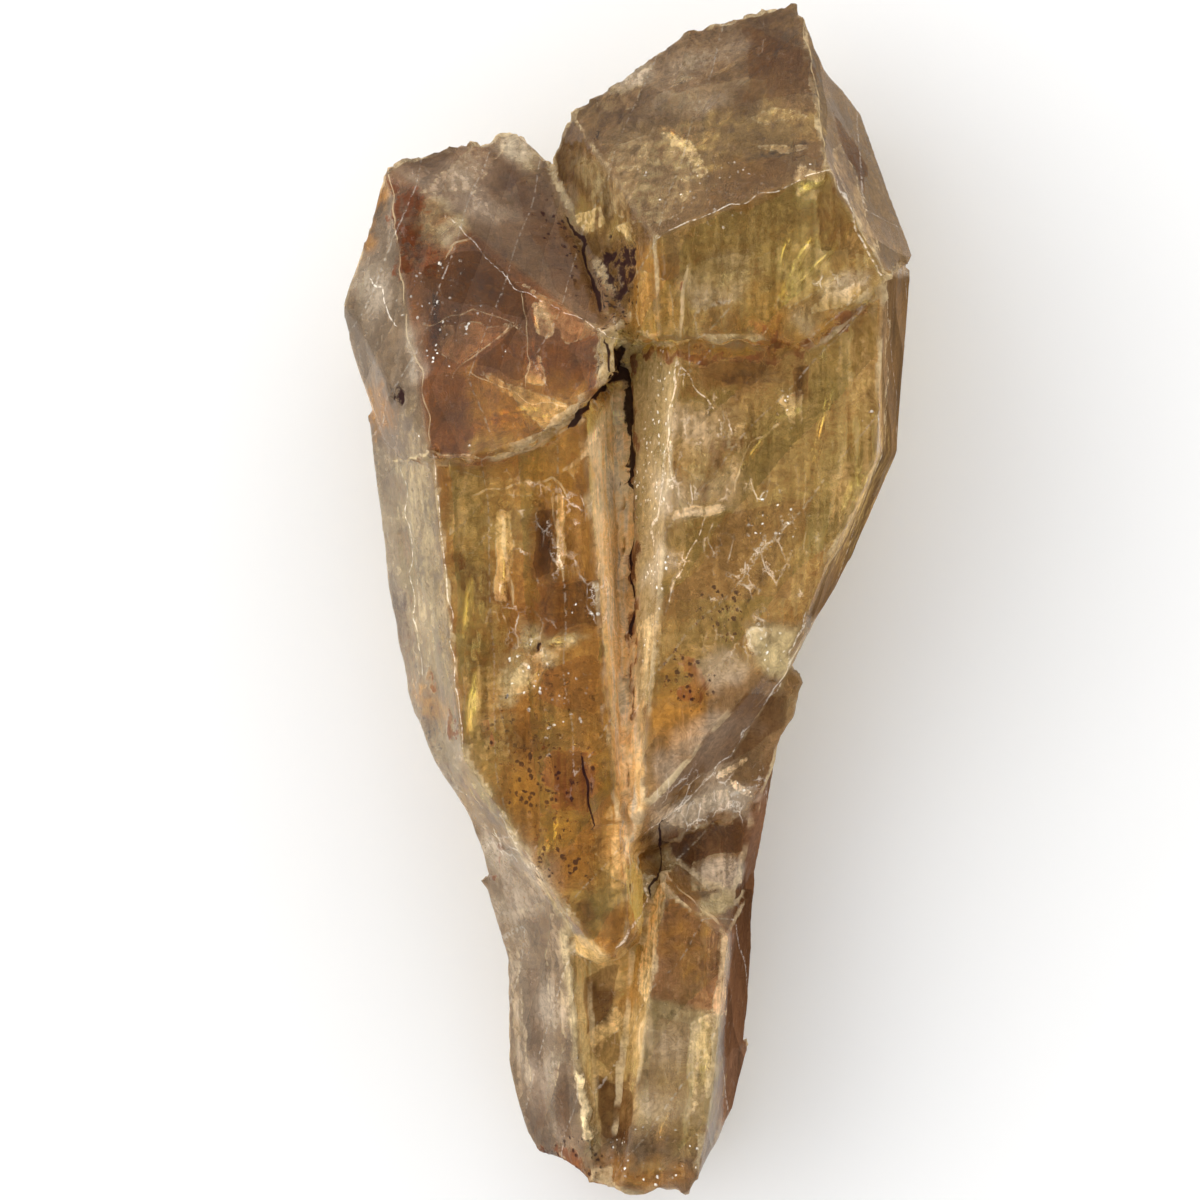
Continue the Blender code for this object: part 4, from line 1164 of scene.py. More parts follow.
@dataclass
class CrystalSkin:
    """The whole group's surface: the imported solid, finely remeshed, then worn and stained."""

    finish: CrystalFinish = field(default_factory=CrystalFinish)
    cell: float = 0.38  # mm between neighbouring corners
    growth: float = 0.018  # height of the lengthwise growth lines
    swell: float = 0.05  # height of the slow swells of a crystal face
    edge_loss: float = 0.07  # what worn edges have lost
    chipping: float = 0.14  # depth of the chips on broken surfaces
    crack_depth: float = 0.40
    crust: float = 0.06  # height of the rusty crust
    fibre_height: float = 0.07
    warp: float = 0.25  # how far the outlines of marks wander
    fine_warp: float = 0.12  # how far thin lines and inner facets wander
    haze_share: float = 0.38  # of the haze that the zones give
    base_tone: Colour = (0.33, 0.20, 0.085)
    side_tone: Colour = (0.05, 0.05, 0.04)  # added where the skin faces sideways
    base_haze: float = 0.45  # before haze_share, as the others
    side_haze: float = 1.1  # added where the skin faces sideways
    back_tone: Colour = (0.66, 0.52, 0.30)
    back_haze: float = 1.6
    lower_tone: Colour = (0.43, 0.30, 0.145)
    lower_haze: float = 1.35
    cloud_shade: float = 0.10  # how far clouds lighten or darken the tone
    curl_shade: float = 0.07
    noise_haze: float = 0.05
    plane_count: int = 9  # of the faceted field of the cleavage cracks
    plane_spacing: Plan = (3.0, 9.0)  # mm, least and greatest
    ragged: float = 0.30  # how far curls move a mark's edge, in its field's units
    worn: Plan = (0.006, 0.05)  # disagreement of normals at which wear begins and is full
    broken: Plan = (0.38, 0.62)  # mean wear at which a surface begins to be, and is, broken

    FAR = 9.0  # a thin line's side, far away from it

    def build(self, node: bpy.types.Object) -> bpy.types.Object:
        """Makes the skin.

        Args:
            node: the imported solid, which is only read.

        Returns:
            The dressed skin, which stands for that solid.
        """
        skin = self.remesh(node)
        mesh = skin.data
        surface = self.survey(mesh)
        fields = self.fields(surface)
        tone, haze = self.tones(surface, fields)
        place = surface.place + surface.normal * self.relief(surface, fields)[:, None]
        low, high = (np.array(corner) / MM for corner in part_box(NODE))
        place = np.clip(place, low, high)
        mesh.vertices.foreach_set("co", (place * MM).astype(np.float32).ravel())
        kept = {"tone_red": tone[:, 0], "tone_green": tone[:, 1], "tone_blue": tone[:, 2],
                "haze": haze, "wear": surface.wear, "flow": self.flow(surface),
                "planes": self.planes(surface),
                "rough_relief": 0.4 * smooth_step(fields[Kind.RUST], -0.4, 0.6)}
        soft = [stain.kind for stain in STAINS]
        kept.update({kind.value: value for kind, value in fields.items() if kind not in soft})
        kept.update(self.thin_lines(surface))
        kept.update(self.facets(surface))
        for name, value in kept.items():
            attribute = mesh.attributes.new(name, "FLOAT", "POINT")
            attribute.data.foreach_set("value", value.astype(np.float32))
        mesh.update()
        mesh.shade_smooth()
        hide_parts(NODE)
        return dress(skin, self.finish.material())

    def remesh(self, node: bpy.types.Object) -> bpy.types.Object:
        """Copies the solid, merges its doubles and gives it even cells that lie on its faces.

        Args:
            node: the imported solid.

        Returns:
            A new object.
        """
        pattern = bpy.data.objects.new("pattern", node.data.copy())
        bpy.context.scene.collection.objects.link(pattern)
        shell = bmesh.new()
        shell.from_mesh(pattern.data)
        bmesh.ops.remove_doubles(shell, verts=shell.verts, dist=1e-6)
        shell.to_mesh(pattern.data)
        shell.free()
        rough = bpy.data.objects.new("rough", pattern.data)
        bpy.context.scene.collection.objects.link(rough)
        cells = rough.modifiers.new("cells", "REMESH")
        cells.mode = "VOXEL"
        cells.voxel_size = self.cell * MM
        wrap = rough.modifiers.new("wrap", "SHRINKWRAP")
        wrap.wrap_method = "NEAREST_SURFACEPOINT"
        wrap.target = pattern
        graph = bpy.context.evaluated_depsgraph_get()
        mesh = bpy.data.meshes.new_from_object(rough.evaluated_get(graph))
        mesh.name = "crystal_skin"
        for spare in (rough, pattern):
            bpy.data.objects.remove(spare)
        skin = bpy.data.objects.new("crystal_skin", mesh)
        bpy.context.scene.collection.objects.link(skin)
        return skin

    def survey(self, mesh: bpy.types.Mesh) -> Surface:
        """Reads the corners and works out where the stone is worn or broken.

        Args:
            mesh: the skin.

        Returns:
            Its arrays. Wear is how far the normals of a corner's surroundings disagree, and a
            surface is broken where wear fills the surroundings instead of following an edge.
        """
        place = np.empty(len(mesh.vertices) * 3, np.float32)
        normal = np.empty_like(place)
        mesh.vertices.foreach_get("co", place)
        mesh.vertex_normals.foreach_get("vector", normal)
        place = place.reshape(-1, 3).astype(float) / MM
        normal = normal.reshape(-1, 3).astype(float)
        ends = np.empty(len(mesh.edges) * 2, np.int32)
        mesh.edges.foreach_get("vertices", ends)
        pairs = ends.reshape(-1, 2)
        wear = smooth_step(1.0 - np.linalg.norm(spread(normal, pairs, 2), axis=1), *self.worn)
        broken = smooth_step(spread(wear[:, None], pairs, 14)[:, 0], *self.broken)
        bent = place + waves(place, 4.0, Draw.CURL_BEND)[:, None] * 0.5
        curl = waves(bent, 1.7, Draw.CURL) * 0.75 + waves(place, 0.95, Draw.FINE_CURL) * 0.5
        return Surface(place, normal, wear, broken, curl, waves(place, 5.5, Draw.CLOUD))

    def wandered(self, surface: Surface, size: float, draws: Sequence[Draw],
                 reach: float) -> tuple[Array, Array]:
        """Where the corners lie in plan, pushed about so that outlines aren't ruled.

        Args:
            surface: the skin's arrays.
            size: about how many millimetres a push takes.
            draws: the seeds across and along.
            reach: how far it pushes.

        Returns:
            Places across and along.
        """
        across, along = in_plan(surface.place)
        return (across + waves(surface.place, size, draws[0]) * reach,
                along + waves(surface.place, size, draws[1]) * reach)

    def fields(self, surface: Surface) -> dict[Kind, Array]:
        """The marks' fields: the largest of each kind's, on the side that faces it.

        Args:
            surface: the skin's arrays.

        Returns:
            One number a corner for each kind, -1 to 1 before curls move its edge.
        """
        across, along = self.wandered(surface, 2.6, (Draw.MARK_ACROSS, Draw.MARK_ALONG), self.warp)
        front = smooth_step(surface.normal[:, 2], -0.35, -0.05)
        result = {}
        for kind in Kind:
            if kind in THIN_KINDS + FACET_KINDS:
                continue
            value = np.full(len(across), -1.0)
            for marks, share in ((FRONT_MARKS, front), (BACK_MARKS, 1.0 - front)):
                for mark in marks:
                    if mark.kind is kind:
                        value = np.maximum(value, (mark.field(across, along) + 1.0) * share - 1.0)
            curls = surface.cloud if kind is Kind.FROST else surface.curl
            if kind is Kind.CREAM:
                curls = curls * 0.6
            result[kind] = value + self.ragged * curls * smooth_step(value, -1.0, -0.5)
        return result

    def thin_lines(self, surface: Surface) -> dict[str, Array]:
        """The fields of thin lines, which stay sharp between corners because they change sign.

        Args:
            surface: the skin's arrays.

        Returns:
            For each thin kind its side, the signed distance to the nearest line over half that
            line's width, and its closeness, 1 on a line to 0 a millimetre away.
        """
        across, along = self.wandered(
            surface, 2.6, (Draw.MARK_ACROSS, Draw.MARK_ALONG), self.fine_warp)
        facing = surface.normal[:, 2] > -0.1
        result = {}
        for kind in THIN_KINDS:
            closest, side = np.full(len(across), np.inf), np.full(len(across), self.FAR)
            for marks, seen in ((FRONT_MARKS, facing), (BACK_MARKS, ~facing)):
                for mark in marks:
                    if mark.kind is kind and isinstance(mark, Trace):
                        distance, signed = mark.sides(across, along)
                        nearer = (distance < closest) & seen
                        side = np.where(nearer, signed / (mark.width / 2), side)
                        closest = np.where(nearer, distance, closest)
            result[f"{kind.value}_side"] = np.clip(side, -self.FAR, self.FAR)
            result[f"{kind.value}_near"] = np.clip(1.0 - closest, 0.0, 1.0)
        return result

    def facets(self, surface: Surface) -> dict[str, Array]:
        """The fields of the inner facets.

        Args:
            surface: the skin's arrays.

        Returns:
            For each kind of facet, how far inside one each corner is, and that one's strength.
        """
        across, along = self.wandered(
            surface, 3.4, (Draw.FACET_ACROSS, Draw.FACET_ALONG), self.fine_warp)
        facing = surface.normal[:, 2] > 0.05
        result = {}
        for kind in FACET_KINDS:
            depth, gain = np.full(len(across), -1.0), np.zeros(len(across))
            for mark in FACETS:
                if mark.kind is kind:
                    inside = mark.depth(across, along)
                    gain = np.where(inside > depth, mark.strength, gain)
                    depth = np.maximum(depth, inside)
            result[f"{kind.value}_depth"] = np.where(facing, np.minimum(depth, 1.0), -1.0)
            result[f"{kind.value}_gain"] = gain
        return result

    def flow(self, surface: Surface) -> Array:
        """A slow warped noise whose contours are the curved lines of healed cracks.

        Args:
            surface: the skin's arrays.

        Returns:
            One number a corner.
        """
        place = surface.place
        bend = [waves(place, 3.2, Draw.FLOW_BEND + axis) for axis in range(3)]
        bent = place + np.column_stack(bend) * 0.55
        return waves(bent, 6.5, Draw.FLOW) + 0.35 * waves(bent, 2.4, Draw.FINE_FLOW)

    def planes(self, surface: Surface) -> Array:
        """A faceted field: whole numbers are crossed on straight lines that meet at sharp corners.

        It is the largest of several sloping planes, each a unit direction's distance over its
        spacing plus a slow wave, so its slope changes suddenly from one plane's part to the next.

        Args:
            surface: the skin's arrays.

        Returns:
            One number a corner.
        """
        chance = np.random.default_rng(Draw.PLANES)
        place = surface.place + np.outer(waves(surface.place, 9.0, Draw.PLANE_BEND), (0.3, 0.3, 0.3))
        value = np.full(len(place), -np.inf)
        for _ in range(self.plane_count):
            turn = chance.uniform(0, 2 * np.pi)
            way = np.array((math.cos(turn), 0.55 * math.sin(turn), chance.uniform(-0.6, 0.6)))
            spacing = chance.uniform(*self.plane_spacing)
            value = np.maximum(value, place @ way / spacing + chance.uniform(-1.5, 1.5))
        return value

    def relief(self, surface: Surface, fields: dict[Kind, Array]) -> Array:
        """How far each corner moves out: swells and growth lines on the faces, chips where worn.

        Args:
            surface: the skin's arrays.
            fields: the marks' fields.

        Returns:
            Millimetres along the normal.
        """
        place = surface.place
        lines = waves(place, 1.3, Draw.GROWTH, (1.0, 0.06, 0.5)) * self.growth
        slow = waves(place, 7.0, Draw.SWELL, (1.0, 0.45, 1.0)) * self.swell
        worn = -self.edge_loss * surface.wear * (1.0 - surface.broken) \
            * (0.6 + 0.25 * waves(place, 2.2, Draw.WORN_EDGE))
        chips = (waves(place, 1.7, Draw.CHIPS) + 0.5 * waves(place, 0.95, Draw.FINE_CHIPS)) \
            * self.chipping * surface.broken
        open_dark = smooth_step(fields[Kind.DARK], -0.3, 0.7)
        crack = -self.crack_depth * np.maximum(open_dark, self.groove(surface))
        crust = self.crust * (surface.curl + 0.7) * smooth_step(fields[Kind.RUST], -0.2, 0.5)
        fibres = waves(place, 1.0, Draw.FIBRES, (1.0, 0.12, 1.0)) * self.fibre_height \
            * smooth_step(fields[Kind.FIBRE], -0.3, 0.5)
        return lines + slow + worn + chips + crack + crust + fibres

    def groove(self, surface: Surface) -> Array:
        """The grooves of the dark cracks.

        Args:
            surface: the skin's arrays.

        Returns:
            How deep each corner lies in one, 0 to 1.
        """
        across, along = in_plan(surface.place)
        depth = np.zeros(len(across))
        for mark in FRONT_MARKS:
            if mark.kind is Kind.CRACK:
                depth = np.maximum(depth, smooth_step(mark.depth(across, along), -0.35, 0.05))
        return depth * (surface.normal[:, 2] > 0.0)

    def tones(self, surface: Surface, fields: dict[Kind, Array]) -> tuple[Array, Array]:
        """The tone and the haze of each corner.

        Args:
            surface: the skin's arrays.
            fields: the marks' fields.

        Returns:
            Linear colours and haze shares: a base that pales towards the sides, then the zones of
            the front, then the cloudy stains.
        """
        across, along = in_plan(surface.place)
        side = 1.0 - np.abs(surface.normal[:, 2])
        tone = np.array(self.base_tone) + np.outer(side, self.side_tone)
        haze = self.base_haze + self.side_haze * smooth_step(side, 0.55, 0.95)
        back = smooth_step(-surface.normal[:, 2], 0.1, 0.5)
        flat = smooth_step(-surface.normal[:, 2], 0.72, 0.95)
        tone = tone + (np.array(self.lower_tone) - tone) * back[:, None]
        tone = tone + (np.array(self.back_tone) - tone) * flat[:, None]
        haze = haze + (self.lower_haze + (self.back_haze - self.lower_haze) * flat - haze) * back
        front = smooth_step(surface.normal[:, 2], -0.02, 0.10)
        for zone in ZONES:
            share = smooth_step(zone.depth(across, along) / zone.soft, -1.0, 1.0) * front
            tone = tone + (np.array(zone.tone) - tone) * share[:, None]
            haze = haze + (zone.haze - haze) * share
        tone = tone * (1.0 + self.cloud_shade * surface.cloud + self.curl_shade * surface.curl)[:, None]
        haze = haze + self.noise_haze * surface.cloud + self.noise_haze * surface.curl
        for stain in STAINS:
            share = smooth_step(fields[stain.kind], -0.8, 0.9)
            tone = tone + (np.array(stain.colour) - tone) * (stain.cover * share)[:, None]
            haze = haze + stain.haze * share
        return np.clip(tone, 0.0, 1.0), haze * self.haze_share


# ---------------------------------------------------------------------------- inside the stone
@dataclass(frozen=True)
class PlateFinish:
    """The look of a crack plane or flake: two colours in cloudy patches, and how solid they are."""

    name: str
    colour: Colour
    second: Colour
    metallic: float
    roughness: float
    thin: float  # how solid the thin patches are
    solid: float  # how solid the thick ones are
    size: float = 1.0  # mm across a patch
    fading: bool = True  # thinner towards the rim

    def material(self) -> bpy.types.Material:
        """Builds the finish.

        Returns:
            The material, which reads the piece's own reach: 0 in a plate's middle, 1 at its rim.
        """
        graph = Graph(bpy.data.materials.new(self.name))
        cloud = graph.noise(graph.place((1.0, 0.4, 1.0), 30.0), 1.0 / self.size, 3.0, 0.65)
        alpha = cloud.rise(0.42, 0.58, self.solid, self.thin)
        if self.fading:
            alpha = alpha * graph.number("reach").rise(1.0, 0.35)
        surface = graph.wire("ShaderNodeBsdfPrincipled", None, {
            "Base Color": graph.mix(cloud.rise(0.35, 0.65), self.colour, self.second),
            "Metallic": self.metallic, "Roughness": self.roughness, "Alpha": alpha})
        return graph.finish(surface)


GOLDEN = PlateFinish("golden_crack", (0.97, 0.84, 0.54), (0.88, 0.66, 0.34), 0.75, 0.22, 0.10, 0.9)
MILKY = PlateFinish("milky_veil", (0.92, 0.86, 0.76), (0.80, 0.66, 0.46), 0.3, 0.35, 0.0, 0.45, 1.4)
SMOKY = PlateFinish("smoky_wisp", (0.05, 0.02, 0.01), (0.14, 0.06, 0.025), 0.0, 0.6, 0.0, 0.7, 2.2)
BRIGHT = PlateFinish("bright_flake", (0.98, 0.95, 0.88), (0.95, 0.82, 0.58), 0.85, 0.12, 0.8, 1.0, 1.0, False)
RUSTY = PlateFinish("rusty_flake", (0.10, 0.025, 0.012), (0.24, 0.07, 0.02), 0.0, 0.7, 1.0, 1.0, 1.0, False)


class Room:
    """How deep the stone is, seen from above: its highest and lowest corners in square cells."""

    STEEPEST = 1.2  # slope that a plate is laid to
    FIRST_HEIGHT = 20.0  # mm, where a search for the skin starts
    SPARE_HEIGHT = 12.0  # mm, where a search goes on if it meets no skin
    SEARCHES = 4

    def __init__(self, place: Array, cell: float = 0.55, margin: float = 0.15) -> None:
        """Sorts the skin's corners into cells, each as roomy as the tightest cell that it touches.

        Args:
            place: the skin's corners in millimetres.
            cell: edge of a cell.
            margin: what stays free under the skin.
        """
        self.cell = cell
        self.origin = place[:, :2].min(axis=0) - 2 * cell
        spot = ((place[:, :2] - self.origin) / cell).astype(int)
        shape = tuple(spot.max(axis=0) + 3)
        top, bottom = np.full(shape, -np.inf), np.full(shape, np.inf)
        np.maximum.at(top, tuple(spot.T), place[:, 2])
        np.minimum.at(bottom, tuple(spot.T), place[:, 2])
        self.top = top
        shifts = [(right, up) for right in (-1, 0, 1) for up in (-1, 0, 1)]
        self.roof = np.min([np.roll(top, shift, (0, 1)) for shift in shifts], axis=0) - margin
        self.ground = np.max([np.roll(bottom, shift, (0, 1)) for shift in shifts], axis=0) + margin

    def spots(self, place: Array) -> tuple[Array, Array]:
        """The cells that points lie over; points beyond the edge take the edge's empty cells."""
        spot = ((place[..., :2] - self.origin) / self.cell).astype(int)
        spot = np.clip(spot, 0, np.array(self.top.shape) - 1)
        return spot[..., 0], spot[..., 1]

    def lie(self, point: Array, step: int = 3) -> Array:
        """The turn that lays a flat plate along the skin above a point.

        Args:
            point: a place in the stone.
            step: how many cells the slope is taken over, each way.

        Returns:
            Three unit columns: right and up along the skin, and out of it.
        """
        right, up = self.spots(point)
        ahead = [self.top[right + step, up] - self.top[right - step, up],
                 self.top[right, up + step] - self.top[right, up - step]]
        slope = np.nan_to_num(ahead, nan=0.0, posinf=0.0, neginf=0.0) / (2 * step * self.cell)
        slope = np.clip(slope, -self.STEEPEST, self.STEEPEST)
        out = np.array((-slope[0], -slope[1], 1.0))
        out = out / np.linalg.norm(out)
        first = np.array((1.0, 0.0, slope[0]))
        first = first / np.linalg.norm(first)
        return np.column_stack((first, np.cross(out, first), out))

    def holds(self, place: Array) -> Array:
        """Whether points lie inside the stone, clear of its skin."""
        spot = self.spots(place)
        return (place[..., 2] < self.roof[spot]) & (place[..., 2] > self.ground[spot])

    def below(self, across: float, along: float, depth: float) -> Array:
        """Finds a point on the line from the eye through a place in plan, by repeated trial.

        Args:
            across: the place across.
            along: the place along.
            depth: how far under the skin it is, in millimetres.

        Returns:
            The point.
        """
        height = self.FIRST_HEIGHT
        for _ in range(self.SEARCHES):
            share = (EYE[2] - height) / (EYE[2] - EYE_LEVEL)
            point = np.array([EYE[0] + (across - EYE[0]) * share, EYE[1] + (along - EYE[1]) * share, 0.0])
            height = float(self.top[self.spots(point)])
            height = height if np.isfinite(height) else self.SPARE_HEIGHT
        point[2] = height - depth
        return point


@dataclass(frozen=True)
class Plate:
    """A thin dished crack plane. at is its middle in plan, depth how far under the skin it lies."""

    at: Plan
    half: Plan
    depth: float = 1.2
    turn: float = 0.0  # degrees, of its long side in plan
    tilt: float = 15.0  # degrees, about its long side, to the left or back
    pitch: float = 0.0  # degrees, about its short side
    bend: float = 0.25  # depth of the dish, in its smaller half width
    rings: float = 2.5  # ripples from middle to rim
    ragged: float = 0.22
    thickness: float = 0.06
    around: int = 56
    across: int = 9
    ripple: float = 0.035  # height of the ripples, in its smaller half width

    LOBES = (2, 3, 5, 9)  # waves of its outline

    def reach(self) -> Array:
        """How far out each corner is, 0 in the middle to 1 at the rim, in the order of shell."""
        height = np.linspace(1, -1, 2 * self.across + 1)[1:-1]
        return np.append(np.repeat(1.0 - np.abs(height), self.around), (0.0, 0.0))

    def shell(self, room: Room, seed: int) -> tuple[Array, list[tuple[int, ...]]]:
        """Makes the plane's two sides, which meet at the rim, and lays it along the skin above it.

        A corner is given by its angle and by a height from 1, the middle of the upper side, over
        0, the rim, to -1, the middle of the lower side. Its reach is one less the height's size,
        times half the width and times an outline of four sine waves. It rises with the square of
        its reach, plus a sine for the ripples, plus half the thickness. The plane is turned and
        tilted from the slope of the skin above its middle. A corner outside the stone's room is
        drawn back towards the middle until it is inside.

        Args:
            room: the stone's room.
            seed: picks the outline.

        Returns:
            Corners in millimetres, and faces.
        """
        chance = np.random.default_rng(seed)
        angle = np.linspace(0, 2 * np.pi, self.around, endpoint=False)
        height = np.linspace(1, -1, 2 * self.across + 1)[1:-1]
        lobes = sum(np.sin(number * angle + chance.uniform(0, 2 * np.pi)) / number ** 0.6
                    for number in self.LOBES)
        outline = 1.0 + self.ragged * lobes / 1.6
        reach = 1.0 - np.abs(height)
        small = min(self.half)
        right = np.outer(reach, outline * np.cos(angle)) * self.half[0]
        up = np.outer(reach, outline * np.sin(angle)) * self.half[1]
        rise = self.bend * small * reach ** 2 + self.ripple * small * np.sin(2 * np.pi * self.rings * reach)
        rise = rise + np.sign(height) * self.thickness / 2 * np.sqrt(1.0 - reach ** 2)
        rim = np.stack((right, up, np.repeat(rise[:, None], self.around, axis=1)), axis=-1).reshape(-1, 3)
        poles = np.array([(0.0, 0.0, self.thickness / 2), (0.0, 0.0, -self.thickness / 2)])
        local = np.vstack((rim, poles))
        middle = room.below(*self.at, self.depth)
        way = Euler([math.radians(value) for value in (-self.tilt, self.pitch, self.turn)]).to_matrix()
        arm = local @ (room.lie(middle) @ np.array(way)).T
        place = np.repeat(middle[None, :], len(arm), axis=0)
        free = np.ones(len(arm), bool)
        for share in np.linspace(0.05, 1.0, 20):
            trial = middle + arm * share
            free &= room.holds(trial)
            place[free] = trial[free]
        return place, self.faces(len(height))

    def faces(self, rows: int) -> list[tuple[int, ...]]:
        """Joins the corners of shell.

        Args:
            rows: how many rings of corners there are.

        Returns:
            Quads between neighbouring rings, and fans at the two middles.
        """
        column = np.arange(self.around)
        after = np.roll(column, -1)
        row = np.arange(rows - 1)[:, None] * self.around
        quads = np.stack((row + column, row + self.around + column, row + self.around + after,
                          row + after), axis=-1).reshape(-1, 4)
        last = (rows - 1) * self.around
        top, bottom = rows * self.around, rows * self.around + 1
        upper = np.column_stack((np.full(self.around, top), column, after))
        lower = np.column_stack((np.full(self.around, bottom), last + after, last + column))
        return [tuple(face) for part in (quads, upper, lower) for face in part.tolist()]


def join(name: str, plates: Sequence[Plate], room: Room, finish: PlateFinish, seed: int) -> bpy.types.Object:
    """Makes one piece of several plates.

    Args:
        name: the piece's name.
        plates: its planes or flakes.
        room: the stone's room; a plate whose middle isn't in it is left out.
        finish: its look.
        seed: picks the outlines.

    Returns:
        The dressed piece.
    """
    corners, reaches, faces, total = [], [], [], 0
    for number, plate in enumerate(plates):
        if not room.holds(room.below(*plate.at, plate.depth)):
            continue
        place, sides = plate.shell(room, seed + number)
        corners.append(place)
        reaches.append(plate.reach())
        faces += [tuple(corner + total for corner in side) for side in sides]
        total += len(place)
    log.info("%s: %d of %d plates lie inside", name, len(corners), len(plates))
    piece = make_mesh(name, np.vstack(corners), faces)
    attribute = piece.data.attributes.new("reach", "FLOAT", "POINT")
    attribute.data.foreach_set("value", np.concatenate(reaches).astype(np.float32))
    return dress(piece, finish.material())


